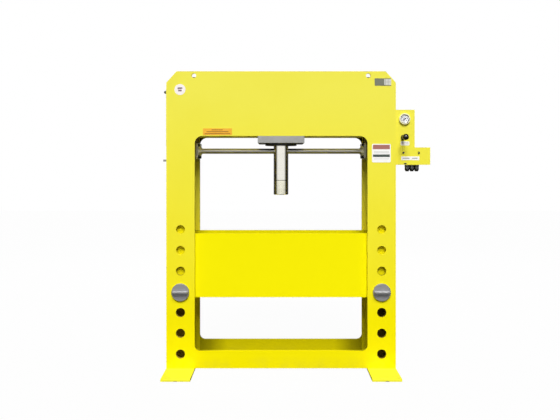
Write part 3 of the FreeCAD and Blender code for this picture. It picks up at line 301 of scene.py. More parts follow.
def middle_of(name):
    """The middle of a CAD piece's box."""
    low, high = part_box(name)
    return tuple((a + b) / 2 for a, b in zip(low, high))


def yellow_enamel(name, foot_colour, crown_sheen_colour, dull, painted_shade_places):
    """Enamel that pales upwards in a painted sheen, with grime near the floor, a painted highlight on the
    foot tops, and the painted shade that the last argument adds for a piece.
    """
    finish = Finish(name, {"Coat Roughness": 0.15, "Specular IOR Level": 0.06})
    clouds = finish.noise(2.6, 4.0, 0.55)
    specks = finish.noise(210.0, 2.0, 0.6)
    across, back, height = finish.parts(finish.place())
    # Paler towards the crown: a painted sheen.
    colour = finish.blend(height.ramp(0.35, 1.75), foot_colour, crown_sheen_colour)
    colour = finish.blend((clouds - 0.45) * 0.5, colour, dull)
    grime = height.ramp(0.10, 0.0) * finish.noise(11.0, 5.0, 0.6).ramp(0.42, 0.75) * 0.30
    colour = finish.blend(grime, colour, (0.42, 0.36, 0.06, 1.0))
    colour = finish.blend(specks.ramp(0.74, 0.80) * 0.25, colour, (0.55, 0.48, 0.05, 1.0))
    # The tops of the feet are paler: a painted highlight where the light falls on them.
    colour = finish.blend((height < foot_top + 0.0005) * 0.7, colour, (0.97, 0.95, 0.060, 1.0))
    colour = painted_shade_places(finish, colour, across, back, height)
    finish.feed("Base Color", colour)
    finish.feed("Roughness", 0.34 + 0.12 * clouds + 0.25 * grime)
    finish.feed("Coat Weight", height.ramp(0.9, 1.9) * 0.25)
    peel = finish.noise(420.0, 1.0) * 0.6 + finish.noise(95.0, 2.0) * 0.4
    finish.bump(peel, 0.0006, 0.2)
    return finish.material


edge_margin = 0.001
foot_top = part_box("right_foot_plate")[1][2]
front_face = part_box("front_frame_plate")[0][1]
plate_gap_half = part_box("rear_frame_plate")[0][1] + 0.0003
window_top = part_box("head_block")[1][2]
window_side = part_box("right_foot_plate")[0][0]
side_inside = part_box("right_side_plate")[0][0] + 0.0003
pin_hole_side = middle_of("right_bed_pin")[0]
pin_hole_radius = 0.02825
pin_hole_height = 0.1067
pin_hole_pitch = 0.1317
lower_holes = (0.66, 0.58)
column_depth = (0.588, 0.612)
under_crown_depth = (0.552, 0.556)
under_crown_rise = (1.325, 1.355)
reveal_shade_rise = (1.41, 1.45)
base_rise = 0.35
base_end = (0.36, 0.56)
corner_rise = (0.28, 0.18)
# Colours of painted shade: dimmed enamel, near black under the crown, and browns for the columns.
shade_enamel_colour = (0.30, 0.26, 0.001, 1.0)
reveal_shade_colour = (0.045, 0.036, 0.006, 1.0)
left_painted_shade = ((0.17, 0.105, 0.018, 1.0), (0.36, 0.26, 0.030, 1.0))
right_painted_shade = ((0.060, 0.038, 0.008, 1.0), (0.150, 0.100, 0.015, 1.0))


def painted_shade_in_frame(finish, colour, across, back, height):
    """Painted shade: brown in the columns and lower holes, near black over the window, dim at its foot."""
    side = abs(across)
    behind_front = back > front_face + 2 * edge_margin
    low_down = height.ramp(0.50, 0.12)
    # The brown painted shade is paler on the left and lower down, where more light reaches.
    hollow_shade_colour = finish.blend(across.ramp(-0.3, 0.3), finish.blend(low_down, *left_painted_shade),
                          finish.blend(low_down, *right_painted_shade))
    between_plates = (abs(back) < plate_gap_half) * (side < side_inside)
    under_crown = side.ramp(*under_crown_depth) * height.ramp(*under_crown_rise)
    column_inside = side.ramp(*column_depth).larger(under_crown) * between_plates
    rise = ((height - pin_hole_height) / pin_hole_pitch).from_nearest() * pin_hole_pitch
    reach = side - pin_hole_side
    from_hole = (rise * rise + reach * reach).root()
    hole_wall = (from_hole < pin_hole_radius + 0.0012) * height.ramp(*lower_holes)
    hollow_shade = column_inside.larger(hole_wall)

    # The foot of the window and the column corners low down are dimmed as painted shade.
    base_top = (side < window_side - edge_margin) * (height < base_rise) * behind_front
    far_edge = (back > plate_gap_half - edge_margin) * 0.45
    base_shade = base_top * (0.08 + 0.82 * side.ramp(*base_end) + far_edge)
    corner = (side > window_side - edge_margin) * (abs(back) < plate_gap_half) * height.ramp(*corner_rise)
    # The reveal over the window is near black: painted shade.
    shaded_reveal = height.ramp(*reveal_shade_rise) * (height < window_top + edge_margin)
    shaded_reveal = shaded_reveal * (side < window_side + edge_margin) * behind_front
    colour = finish.blend(base_shade, colour, shade_enamel_colour)
    colour = finish.blend(corner * 0.60, colour, shade_enamel_colour)
    colour = finish.blend(hollow_shade * 0.96, colour, hollow_shade_colour)
    return finish.blend(shaded_reveal * 0.96, colour, reveal_shade_colour)


bed_ear_side = window_side + 0.006
bed_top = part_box("bed_front_plate")[1][2]


def painted_shade_on_bed(finish, colour, across, back, height):
    """Painted shade on the ears inside the columns, on the rear plate and along the top edge."""
    colour = finish.blend((abs(across) > bed_ear_side) * 0.55, colour, (0.50, 0.43, 0.003, 1.0))
    colour = finish.blend((back > 0.0) * 0.50, colour, (0.42, 0.37, 0.001, 1.0))
    return finish.blend((height > bed_top - 0.0045) * 0.65, colour, (0.30, 0.27, 0.002, 1.0))


frame_enamel = yellow_enamel("frame_enamel", (0.94, 0.82, 0.001, 1.0), (0.93, 0.86, 0.088, 1.0),
                             (0.84, 0.73, 0.010, 1.0), painted_shade_in_frame)
bed_enamel = yellow_enamel("bed_enamel", (0.97, 0.87, 0.001, 1.0), (0.97, 0.88, 0.002, 1.0),
                           (0.92, 0.80, 0.001, 1.0), painted_shade_on_bed)


def cover_with(material, *names):
    """Gives CAD pieces their finish."""
    for name in names:
        data = nodes[name].data
        data.materials.clear()
        data.materials.append(material)


def soften_edges(name, width):
    """Rounds a CAD piece's sharp edges, as grinding and paint do."""
    join = nodes[name].modifiers.new("join", "WELD")
    join.merge_threshold = 0.00001
    rounding = nodes[name].modifiers.new("rounding", "BEVEL")
    rounding.width = width
    rounding.segments = 2
    rounding.limit_method = "ANGLE"
    rounding.angle_limit = math.radians(50)
    rounding.use_clamp_overlap = True


flame_cut_plates = ["front_frame_plate", "rear_frame_plate", "left_foot_plate", "right_foot_plate"]
bed_plates = ["bed_front_plate", "bed_rear_plate"]
cover_with(frame_enamel, *flame_cut_plates, "left_side_plate", "right_side_plate", "crown_ribs")
cover_with(frame_enamel, "access_cover", "bearing_plates", "cylinder_barrel", "cylinder_cap")
cover_with(frame_enamel, "control_panel", "control_box", "power_unit_shelf")
cover_with(bed_enamel, *bed_plates, "bed_left_diaphragm", "bed_right_diaphragm")
for piece in flame_cut_plates + bed_plates:
    soften_edges(piece, 0.0016)


# ---- Weld beads ----------------------------------------------------------------------------------
# Fillet welds where the plates meet: a row of overlapping ripples laid by hand along each corner and
# painted over with the frame.
def mesh_object(name, shape, material, body):
    """Turns a bmesh into a piece that rides on a body."""
    bmesh.ops.remove_doubles(shape, verts=shape.verts, dist=0.00001)
    bmesh.ops.recalc_face_normals(shape, faces=shape.faces)
    data = bpy.data.meshes.new(name)
    shape.to_mesh(data)
    shape.free()
    data.materials.append(material)
    data.shade_smooth()
    data.set_sharp_from_angle(angle=math.radians(40))
    piece = bpy.data.objects.new(name, data)
    scene.collection.objects.link(piece)
    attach(piece, body)
    return piece


def add_to(shape, part):
    """Adds one bmesh to another and frees it."""
    data = bpy.data.meshes.new("part")
    part.to_mesh(data)
    part.free()
    shape.from_mesh(data)
    bpy.data.meshes.remove(data)


def weld_bead(shape, start, end, radius, ripple=0.0045):
    """A round bead between two points whose girth swells at every ripple."""
    start = Vector(start)
    run = Vector(end) - start
    bead = bmesh.new()
    bmesh.ops.create_cone(bead, cap_ends=True, segments=8, radius1=radius, radius2=radius, depth=run.length)
    long_edges = [edge for edge in bead.edges
                  if abs(edge.verts[0].co.z - edge.verts[1].co.z) > run.length / 2]
    cuts = max(4, int(run.length / ripple * 2))
    bmesh.ops.subdivide_edges(bead, edges=long_edges, cuts=cuts, use_grid_fill=True)
    for vertex in bead.verts:
        along = vertex.co.z / ripple
        crest = 1.0 - 2.0 * abs(along - math.floor(along) - 0.5)
        unsteady_hand = math.sin(along * 0.37)
        swell = 1.0 + 0.16 * crest + 0.05 * unsteady_hand
        vertex.co.x *= swell
        vertex.co.y *= swell
    turn = run.to_track_quat("Z", "Y").to_matrix().to_4x4()
    bmesh.ops.transform(bead, verts=bead.verts, matrix=Matrix.Translation(start + run / 2) @ turn)
    add_to(shape, bead)


front_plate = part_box("front_frame_plate")
rear_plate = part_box("rear_frame_plate")
side_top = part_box("left_side_plate")[1][2]
side_face = front_plate[1][0]
back_face = rear_plate[1][1]
bead_radius = 0.0045
bead_sunk = bead_radius * 0.3
stop_short = 0.004
side_bead_foot = 0.03
foot_bead_half = 0.11

frame_beads = bmesh.new()
for side in (-1, 1):
    bead_z = foot_top + bead_sunk
    for y in (front_face - bead_sunk, back_face + bead_sunk):
        weld_bead(frame_beads, (side * (window_side + stop_short), y, bead_z),
                  (side * (side_face - stop_short), y, bead_z), bead_radius)
    bead_x = side * (side_face - bead_radius * 0.7)
    for y in (front_plate[1][1], rear_plate[0][1]):
        weld_bead(frame_beads, (bead_x, y, side_bead_foot), (bead_x, y, side_top - stop_short), bead_radius)
    bead_x = side * (side_face - 0.001)
    bead_z = foot_top + 0.001
    weld_bead(frame_beads, (bead_x, -foot_bead_half, bead_z), (bead_x, foot_bead_half, bead_z),
              bead_radius * 0.8)
mesh_object("frame_weld_beads", frame_beads, frame_enamel, "frame")

bed_beads = bmesh.new()
for name in ("bed_left_diaphragm", "bed_right_diaphragm"):
    low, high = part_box(name)
    for x in (low[0], high[0]):
        for y in (low[1], high[1]):
            weld_bead(bed_beads, (x, y, low[2] + stop_short), (x, y, high[2] - stop_short), bead_radius)
mesh_object("bed_weld_beads", bed_beads, bed_enamel, "bed")


# ---- Head block, pins and ground steel -----------------------------------------------------------
# The block under the crown and the bed pins with their pull bars are bare machined steel, dull grey with
# fine tool marks and a little oil in patches.
def ground_steel(name, colour, dark, marks):
    """Bare metal whose fine marks run across the stretch of the pattern."""
    finish = Finish(name, {"Metallic": 0.85, "Specular IOR Level": 0.5})
    streaks = finish.noise(1.0, 3.0, 0.6, finish.place(marks))
    smears = finish.noise(14.0, 4.0, 0.6)
    finish.feed("Base Color", finish.blend(smears.ramp(0.45, 0.8) * 0.6 + streaks * 0.25, colour, dark))
    finish.feed("Roughness", 0.42 + 0.16 * (streaks - 0.5) + 0.12 * smears)
    finish.bump(streaks, 0.00012, 0.5)
    return finish.material


machined_round = 0.0012
block_steel = ground_steel("block_steel", (0.37, 0.37, 0.36, 1.0), (0.24, 0.24, 0.23, 1.0),
                           (14.0, 14.0, 900.0))
cover_with(block_steel, "head_block")
soften_edges("head_block", machined_round)


def turned_steel(name, colour, dark, centre):
    """Steel faced in a lathe: rings round a line through the centre that runs front to back."""
    finish = Finish(name, {"Metallic": 0.8, "Specular IOR Level": 0.5})
    flat = finish.place((1.0, 0.0, 1.0), centre)
    distance = finish.add("ShaderNodeVectorMath", {"operation": "LENGTH"}, {0: flat}, output=1)
    rings = (distance * 5200.0).wave()
    smears = finish.noise(26.0, 4.0, 0.65)
    finish.feed("Base Color", finish.blend(smears.ramp(0.35, 0.8) * 0.7, colour, dark))
    finish.feed("Roughness", 0.38 + 0.10 * rings + 0.14 * smears)
    finish.bump(rings, 0.00005, 0.4)
    return finish.material


pin_bead_half = 0.04
pin_bead_radius = 0.0024
for side in ("left", "right"):
    centre = middle_of(side + "_bed_pin")
    face_steel = turned_steel(side + "_pin_steel", (0.42, 0.42, 0.43, 1.0), (0.30, 0.30, 0.30, 1.0), centre)
    cover_with(face_steel, side + "_bed_pin")
    bar_low, bar_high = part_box(side + "_pin_handle")
    bar_steel = ground_steel(side + "_bar_steel", (0.33, 0.33, 0.33, 1.0), (0.20, 0.20, 0.20, 1.0),
                             (900.0, 40.0, 40.0))
    cover_with(bar_steel, side + "_pin_handle")
    soften_edges(side + "_pin_handle", machined_round)
    beads = bmesh.new()
    for z in (bar_low[2], bar_high[2]):
        weld_bead(beads, (centre[0] - pin_bead_half, bar_high[1], z),
                  (centre[0] + pin_bead_half, bar_high[1], z), pin_bead_radius, 0.003)
    mesh_object(side + "_pin_weld_beads", beads, bar_steel, side + "_pin")


# ---- Cylinder and ram ----------------------------------------------------------------------------
# The ram is a hard-chromed rod with a loose steel nose; a black flanged gland screws into the barrel's
# lower end and wipes the rod.
no_seam = -1.0


def rod_finish(name, colour, dark, roughness, metallic, grip, seam=no_seam):
    """Polished steel; grip is how far it is dulled by handling, and seam the height of a dark joint."""
    finish = Finish(name, {"Metallic": metallic})
    scratches = finish.noise(1.0, 2.0, 0.6, finish.place((320.0, 320.0, 7.0)))
    bands = finish.noise(1.0, 2.0, 0.5, finish.place((3.0, 3.0, 60.0)))
    shown = finish.blend(bands.ramp(0.35, 0.75) * grip, colour, dark)
    height = finish.parts(finish.place())[2]
    at_seam = abs(height - seam) < 0.0017
    finish.feed("Base Color", finish.blend(at_seam, shown, (0.20, 0.19, 0.15, 1.0)))
    finish.feed("Roughness", roughness + 0.05 * scratches + 0.04 * bands)
    finish.bump(scratches, 0.00001, 0.3)
    return finish.material


nose_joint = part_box("ram_nose")[1][2]
chrome = rod_finish("ram_chrome", (0.88, 0.86, 0.78, 1.0), (0.80, 0.78, 0.69, 1.0),
                    0.08, 1.0, 0.4, nose_joint)
nose_steel = rod_finish("nose_steel", (0.98, 0.96, 0.78, 1.0), (0.90, 0.87, 0.70, 1.0),
                        0.12, 1.0, 0.6, nose_joint)
cover_with(chrome, "ram_rod")
cover_with(nose_steel, "ram_nose", "piston")


def black_finish(name, colour, roughness, dusty=(0.10, 0.095, 0.085, 1.0), shine=0.5):
    """Blacked metal, black plastic or rubber, with dust in its roughness."""
    finish = Finish(name, {"Metallic": 0.0, "Specular IOR Level": shine})
    dust = finish.noise(40.0, 4.0, 0.6)
    finish.feed("Base Color", finish.blend(dust.ramp(0.5, 0.85) * 0.5, colour, dusty))
    finish.feed("Roughness", roughness + 0.2 * dust)
    finish.bump(finish.noise(650.0, 2.0), 0.0002, 0.3)
    return finish.material


black_steel = black_finish("blacked_steel", (0.016, 0.015, 0.014, 1.0), 0.30)
seal_rubber = black_finish("seal_rubber", (0.02, 0.02, 0.02, 1.0), 0.6)
cover_with(black_steel, "cylinder_gland", "head_block_screws", "bearing_bolts", "cover_studs", "valve_body")
cover_with(seal_rubber, "rod_seal", "piston_seal")


def hex_head(shape, place, direction, radius, height):
    """A hexagon head with broken edges and a washer under it, standing on a point."""
    washer_radius = radius * 1.15
    washer_height = radius * 0.2
    head = bmesh.new()
    bmesh.ops.create_cone(head, cap_ends=True, segments=6, radius1=radius, radius2=radius, depth=height)
    bmesh.ops.bevel(head, geom=head.edges[:], offset=radius * 0.08, segments=2, affect="EDGES", profile=0.5,
                    material=-1)
    bmesh.ops.translate(head, verts=head.verts, vec=(0.0, 0.0, height / 2 + washer_height))
    bmesh.ops.create_cone(head, cap_ends=True, segments=24, radius1=washer_radius, radius2=washer_radius,
                          depth=washer_height, matrix=Matrix.Translation((0.0, 0.0, washer_height / 2)))
    turn = Vector(direction).to_track_quat("Z", "Y").to_matrix().to_4x4()
    bmesh.ops.transform(head, verts=head.verts, matrix=Matrix.Translation(place) @ turn)
    add_to(shape, head)


upwards = (0, 0, 1)
cap_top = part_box("cylinder_cap")[1][2]
cap_bolt_circle = 0.087
cap_bolt_count = 12
cap_bolts = bmesh.new()
for i in range(cap_bolt_count):
    angle = math.tau * (i + 0.5) / cap_bolt_count
    place = (cap_bolt_circle * math.cos(angle), cap_bolt_circle * math.sin(angle), cap_top)
    hex_head(cap_bolts, place, upwards, radius=0.0095, height=0.007)
mesh_object("cap_bolts", cap_bolts, black_steel, "frame")


# ---- Winch shaft, drums and gears ----------------------------------------------------------------
# A bright drawn shaft runs across the frame in two cast bearings. A drum near each end winds a wire rope
# that lifts the bed, and a gear and pinion on the left lead to a square end for a loose crank.
shaft_steel = rod_finish("shaft_steel", (0.84, 0.82, 0.75, 1.0), (0.68, 0.66, 0.60, 1.0), 0.27, 1.0, 0.5)
gear_steel = ground_steel("gear_steel", (0.40, 0.39, 0.37, 1.0), (0.20, 0.19, 0.17, 1.0),
                          (500.0, 30.0, 30.0))
cover_with(shaft_steel, "cross_shaft", "bearing_rings", "cable_sockets")
cover_with(gear_steel, "lift_gear", "crank_shaft", "left_cable_drum", "right_cable_drum")


def cast_finish(name, colour, dark, metallic=0.15):
    """Sand-cast metal: a coarse even grain under thin paint."""
    finish = Finish(name, {"Metallic": metallic})
    grain = finish.noise(300.0, 3.0, 0.6)
    stains = finish.noise(22.0, 4.0, 0.6)
    finish.feed("Base Color", finish.blend(stains.ramp(0.4, 0.8) * 0.6, colour, dark))
    finish.feed("Roughness", 0.45 + 0.2 * stains)
    finish.bump(grain, 0.0006, 0.5)
    return finish.material


housing_cast = cast_finish("housing_cast", (0.97, 0.95, 0.78, 1.0), (0.60, 0.58, 0.44, 1.0), 0.7)
pump_cast = cast_finish("pump_cast", (0.42, 0.43, 0.43, 1.0), (0.30, 0.30, 0.30, 1.0))
cover_with(housing_cast, "left_bearing_housing", "right_bearing_housing")
cover_with(pump_cast, "pump")

nipple_inset = 0.008
# Each step of a nipple has its rise over the housing's middle, its radius, its depth and its sides.
nipple_steps = ((0.035, 0.0052, 0.006, 6), (0.040, 0.0026, 0.008, 16))
nipple_tip_rise = 0.0455
nipple_tip_radius = 0.0034
nipples = bmesh.new()
for name, inner_corner, inward in (("left_bearing_housing", 1, -1), ("right_bearing_housing", 0, 1)):
    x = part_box(name)[inner_corner][0] + inward * nipple_inset
    _, y, z = middle_of(name)
    for rise, radius, depth, sides in nipple_steps:
        bmesh.ops.create_cone(nipples, cap_ends=True, segments=sides, radius1=radius, radius2=radius * 0.9,
                              depth=depth, matrix=Matrix.Translation((x, y, z + rise)))
    bmesh.ops.create_uvsphere(nipples, u_segments=16, v_segments=10, radius=nipple_tip_radius,
                              matrix=Matrix.Translation((x, y, z + nipple_tip_rise)))
mesh_object("grease_nipples", nipples, shaft_steel, "frame")

bush_bronze = ground_steel("bush_bronze", (0.55, 0.38, 0.14, 1.0), (0.35, 0.22, 0.08, 1.0),
                           (60.0, 400.0, 400.0))
cover_with(bush_bronze, "crank_bush")


# ---- Wire ropes ----------------------------------------------------------------------------------
# Each rope is six strands laid round a core, greased and grey. It is clamped in a forked socket on the bed,
# runs straight up to the front of its drum and lies round the drum in close turns.
def rope_finish(name, lay):
    """Strands whose lay is so many waves a metre along each of the three axes."""
    finish = Finish(name, {"Metallic": 0.6})
    x, _, z = finish.parts(finish.place(lay))
    strands = (x + z).wave()
    finish.feed("Base Color", finish.blend(strands, (0.07, 0.065, 0.055, 1.0), (0.36, 0.35, 0.32, 1.0)))
    finish.feed("Roughness", 0.5 - 0.12 * strands)
    finish.bump(strands, 0.0006, 0.8)
    return finish.material


rope_steel = rope_finish("rope_steel", (1400.0, 0.0, 700.0))
wound_steel = rope_finish("wound_rope_steel", (1450.0, 0.0, 900.0))
bed_rise = next(joint for joint in frame["joints"] if joint["name"] == "bed_lift")["range_m"][1]
_, shaft_y, shaft_z = middle_of("cross_shaft")
most_turns = 7
turns_apart_in_radii = 2.05
drum_cheek = 0.007
for side in ("left", "right"):
    low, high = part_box(side + "_lift_cable")
    centre = middle_of(side + "_lift_cable")
    length = high[2] - low[2]
    radius = (high[0] - low[0]) / 2
    rope = bmesh.new()
    bmesh.ops.create_cone(rope, cap_ends=True, segments=20, radius1=radius, radius2=radius, depth=length,
                          matrix=Matrix.Translation(centre))
    rope_piece = mesh_object(side + "_lift_rope", rope, rope_steel, "frame")
    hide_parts(side + "_lift_cable")
    (length - bed_rise) / length
    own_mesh(rope_piece)

    drum_low, drum_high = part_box(side + "_cable_drum")
    winding = bmesh.new()
    for i in range(most_turns):
        x = centre[0] + (i - most_turns // 2) * radius * turns_apart_in_radii
        if not drum_low[0] + drum_cheek < x < drum_high[0] - drum_cheek:
            continue
        ring = bmesh.new()
        bmesh.ops.create_circle(ring, segments=12, radius=radius,
                                matrix=Matrix.Translation((x, centre[1], shaft_z)))
        bmesh.ops.spin(ring, geom=ring.verts[:] + ring.edges[:], cent=(x, shaft_y, shaft_z), axis=(1, 0, 0),
                       angle=math.tau, steps=64, use_merge=True)
        add_to(winding, ring)
    mesh_object(side + "_wound_rope", winding, wound_steel, "lift_shaft")


# ---- Controls on the right column ----------------------------------------------------------------
# A folded panel carries a pressure gauge, a hand valve with a ball-knobbed lever and a switch box with two
# push buttons; three plastic glands take the electric leads in from below.
black_plastic = black_finish("black_plastic", (0.005, 0.005, 0.004, 1.0), 0.10,
                             (0.020, 0.018, 0.010, 1.0), 1.0)
knob_plastic = black_finish("knob_plastic", (0.004, 0.004, 0.004, 1.0), 0.05,
                            (0.012, 0.011, 0.008, 1.0), 0.8)
yoke_black = black_finish("yoke_black", (0.006, 0.006, 0.005, 1.0), 0.35, (0.030, 0.026, 0.014, 1.0))
cover_with(yoke_black, "valve_yoke", "valve_lever")
cover_with(black_plastic, "cable_glands", "start_button", "stop_button", "filler_cap")
cover_with(knob_plastic, "lever_knob")

# The rim's cream is a painted reflection of the yellow paint in its polished steel.
reflection_cream_rim = cast_finish("gauge_rim", (0.95, 0.91, 0.58, 1.0), (0.84, 0.81, 0.50, 1.0))
needle_black = black_finish("needle_black", (0.01, 0.01, 0.01, 1.0), 0.4)
cover_with(reflection_cream_rim, "gauge_case")
cover_with(needle_black, "gauge_needle")
glass = Finish("gauge_glass", {"Base Color": (1.0, 1.0, 1.0, 1.0), "Roughness": 0.03,
                               "Transmission Weight": 1.0, "IOR": 1.05})
cover_with(glass.material, "gauge_glass")

glass_low, glass_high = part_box("gauge_glass")
dial_x, _, dial_z = middle_of("gauge_glass")
dial_radius = (glass_high[0] - glass_low[0]) / 2
dial_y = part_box("gauge_needle")[0][1] + 0.0035
scale_sweep = 270.0
scale_numbers = 6
long_marks = 10
short_marks = 50


def dial_finish():
    """White card with a black scale: long and short marks round three quarters of a turn."""
    finish = Finish("dial_card", {"Roughness": 0.6})
    x, _, z = finish.parts(finish.place(centre=(dial_x, 0.0, dial_z)))
    distance = (x * x + z * z).root()
    turn = x.maths("ARCTAN2", x, z) / math.tau * 360.0
    short = (turn / (scale_sweep / short_marks)).from_nearest() < 0.07
    long = (turn / (scale_sweep / long_marks)).from_nearest() < 0.028
    scale = distance.within(dial_radius * 0.80, dial_radius * 0.88) * short
    scale = scale.larger(distance.within(dial_radius * 0.72, dial_radius * 0.88) * long)
    scale = scale.larger(distance.within(dial_radius * 0.875, dial_radius * 0.89))
    scale = scale * (abs(turn) < scale_sweep / 2 + 1.0)
    card_colour = finish.blend(scale, (0.80, 0.80, 0.82, 1.0), (0.02, 0.02, 0.02, 1.0))
    rim = distance > dial_radius * 0.92
    finish.feed("Base Color", finish.blend(rim, card_colour, (0.05, 0.05, 0.06, 1.0)))
    return finish.material


dial_thickness = 0.0006
facing_front = Matrix.Rotation(math.pi / 2, 4, "X")
card_radius = dial_radius * 0.995
dial = bmesh.new()
bmesh.ops.create_cone(dial, cap_ends=True, segments=64, radius1=card_radius, radius2=card_radius,
                      depth=dial_thickness,
                      matrix=Matrix.Translation((dial_x, dial_y, dial_z)) @ facing_front)
mesh_object("gauge_dial", dial, dial_finish(), "frame")

box_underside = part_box("control_box")[0][2]
gland_x, gland_y, _ = middle_of("cable_glands")
gland_pitch = 0.030
# Each nut of a gland has its drop below the box, its depth and its radius.
gland_nuts = ((0.0065, 0.011, 0.0168), (0.0235, 0.015, 0.0160))
nuts = bmesh.new()
for i in (-1, 0, 1):
    for drop, depth, radius in gland_nuts:
        place = Matrix.Translation((gland_x + i * gland_pitch, gland_y, box_underside - drop))
        nut = bmesh.new()
        bmesh.ops.create_cone(nut, cap_ends=True, segments=6, radius1=radius, radius2=radius, depth=depth)
        bmesh.ops.bevel(nut, geom=nut.edges[:], offset=0.0018, segments=2, affect="EDGES", profile=0.5,
                        material=-1)
        bmesh.ops.transform(nut, verts=nut.verts, matrix=place @ Matrix.Rotation(math.radians(30), 4, "Z"))
        add_to(nuts, nut)
mesh_object("gland_nuts", nuts, black_plastic, "frame")

number_circle = 0.6 * dial_radius
numbers = bmesh.new()
for i in range(scale_numbers):
    angle = math.radians(scale_sweep * (i / (scale_numbers - 1) - 0.5))
    digits = bpy.data.curves.new("number", "FONT")
    digits.body = str(2 * i)
    digits.size = 0.0085
    digits.align_x = "CENTER"
    digits.align_y = "CENTER"
    holder = bpy.data.objects.new("number", digits)
    flat = bpy.data.meshes.new_from_object(holder)
    place = (dial_x + number_circle * math.sin(angle), dial_y - dial_thickness,
             dial_z + number_circle * math.cos(angle))
    flat.transform(Matrix.Translation(place) @ facing_front)
    numbers.from_mesh(flat)
    bpy.data.objects.remove(holder)
    bpy.data.curves.remove(digits)
    bpy.data.meshes.remove(flat)
mesh_object("dial_numbers", numbers, needle_black, "frame")


# ---- Stickers and plates -------------------------------------------------------------------------
# Vinyl stickers and one small plate on the painted front: a white plate and an amber strip on the frame, a
# round sticker, and plain strips on the panel. Their print is left out; bands of colour stand for it.
card_thickness = 0.0005
card_sunk = 0.0001


def card(name, centre, size, face, corner, colour, fields):
    """A thin rounded card on a face; a field is (left, right, bottom, top, ink), 0 to 1 over the card."""
    width, height = size
    shape = bmesh.new()
    bmesh.ops.create_grid(shape, x_segments=1, y_segments=1, size=0.5)
    bmesh.ops.scale(shape, verts=shape.verts, vec=(width, height, 1.0))
    bmesh.ops.bevel(shape, geom=shape.verts[:], offset=corner, segments=6, affect="VERTICES", profile=0.5,
                    material=-1)
    sides = bmesh.ops.extrude_face_region(shape, geom=shape.faces[:])
    bmesh.ops.translate(shape, verts=[v for v in sides["geom"] if isinstance(v, bmesh.types.BMVert)],
                        vec=(0.0, 0.0, card_thickness))
    bmesh.ops.transform(shape, verts=shape.verts,
                        matrix=Matrix.Translation((centre[0], face - card_sunk, centre[1])) @ facing_front)
    finish = Finish(name + "_vinyl", {"Specular IOR Level": 0.3})
    corner_point = (centre[0] - width / 2, 0.0, centre[1] - height / 2)
    across, _, up = finish.parts(finish.place((1.0 / width, 1.0, 1.0 / height), corner_point))
    wear = finish.noise(60.0, 3.0, 0.6)
    shown = finish.blend(wear.ramp(0.55, 0.9) * 0.2, colour, (0.60, 0.57, 0.45, 1.0))
    for left, right, bottom, top, ink in fields:
        shown = finish.blend(across.within(left, right) * up.within(bottom, top), shown, ink)
    finish.feed("Base Color", shown)
    finish.feed("Roughness", 0.45 + 0.1 * wear)
    mesh_object(name, shape, finish.material, "frame")


panel_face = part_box("control_panel")[0][1]
white_vinyl = (1.0, 0.99, 0.96, 1.0)
amber_vinyl = (0.93, 0.47, 0.035, 1.0)
grey_metal = (0.70, 0.70, 0.62, 1.0)
grey_ink = (0.42, 0.42, 0.40, 1.0)
red_ink = (0.42, 0.17, 0.14, 1.0)
faded_red_ink = (0.72, 0.42, 0.40, 1.0)
dark_ink = (0.07, 0.09, 0.08, 1.0)
brown_ink = (0.34, 0.13, 0.01, 1.0)
plum_ink = (0.22, 0.14, 0.15, 1.0)
olive_ink = (0.19, 0.20, 0.15, 1.0)
edge_ink = (0.16, 0.16, 0.12, 1.0)
card("column_plate", (0.6365, 1.382), (0.119, 0.118), front_face, 0.008, white_vinyl,
     [(0.05, 0.95, 0.71, 0.95, red_ink), (0.05, 0.95, 0.29, 0.43, dark_ink),
      (0.10, 0.90, 0.56, 0.58, grey_ink), (0.10, 0.90, 0.50, 0.52, grey_ink),
      (0.10, 0.90, 0.18, 0.20, grey_ink)])
card("amber_strip", (-0.404, 1.518), (0.184, 0.042), front_face, 0.002, amber_vinyl,
     [(0.30, 0.68, 0.72, 0.84, brown_ink), (0.12, 0.88, 0.44, 0.56, brown_ink),
      (0.06, 0.94, 0.14, 0.26, brown_ink)])
card("corner_plate", (0.6465, 1.8335), (0.105, 0.047), front_face, 0.003, grey_metal,
     [(0.0, 1.0, 0.0, 0.10, edge_ink), (0.0, 1.0, 0.90, 1.0, edge_ink),
      (0.0, 0.58, 0.10, 0.90, olive_ink), (0.62, 0.66, 0.10, 0.90, grey_ink),
      (0.80, 0.83, 0.10, 0.90, grey_ink), (0.62, 0.98, 0.48, 0.54, grey_ink)])
card("round_sticker", (-0.642, 1.786), (0.070, 0.070), front_face, 0.03495, (1.0, 0.93, 0.90, 1.0),
     [(0.28, 0.72, 0.55, 0.69, plum_ink), (0.34, 0.66, 0.34, 0.48, plum_ink)])
card("lever_strip", (0.790, 1.4445), (0.056, 0.026), panel_face, 0.006, (0.97, 0.95, 0.86, 1.0),
     [(0.10, 0.46, 0.30, 0.44, faded_red_ink), (0.56, 0.90, 0.30, 0.44, grey_ink),
      (0.14, 0.86, 0.62, 0.72, grey_ink)])
card("switch_strip", (0.8235, 1.3495), (0.116, 0.024), panel_face, 0.004, (1.0, 0.98, 0.92, 1.0),
     [(0.08, 0.46, 0.36, 0.62, grey_ink), (0.60, 0.90, 0.36, 0.62, grey_ink)])
card("lead_clip", (0.7915, 1.3155), (0.017, 0.008), panel_face, 0.001, (0.02, 0.02, 0.015, 1.0), [])


# ---- Power unit ----------------------------------------------------------------------------------
# An electric motor and gear pump on an oil tank, on a shelf behind the crown, with steel tubes to the valve
# and the cylinder.
def machine_paint(name, colour, dark):
    """Dull sprayed paint over castings and sheet, stained by oil."""
    finish = Finish(name, {"Specular IOR Level": 0.5})
    stains = finish.noise(9.0, 4.0, 0.6)
    finish.feed("Base Color", finish.blend(stains.ramp(0.4, 0.85) * 0.6, colour, dark))
    finish.feed("Roughness", 0.38 + 0.2 * stains)
    finish.bump(finish.noise(380.0, 2.0), 0.0005, 0.3)
    return finish.material


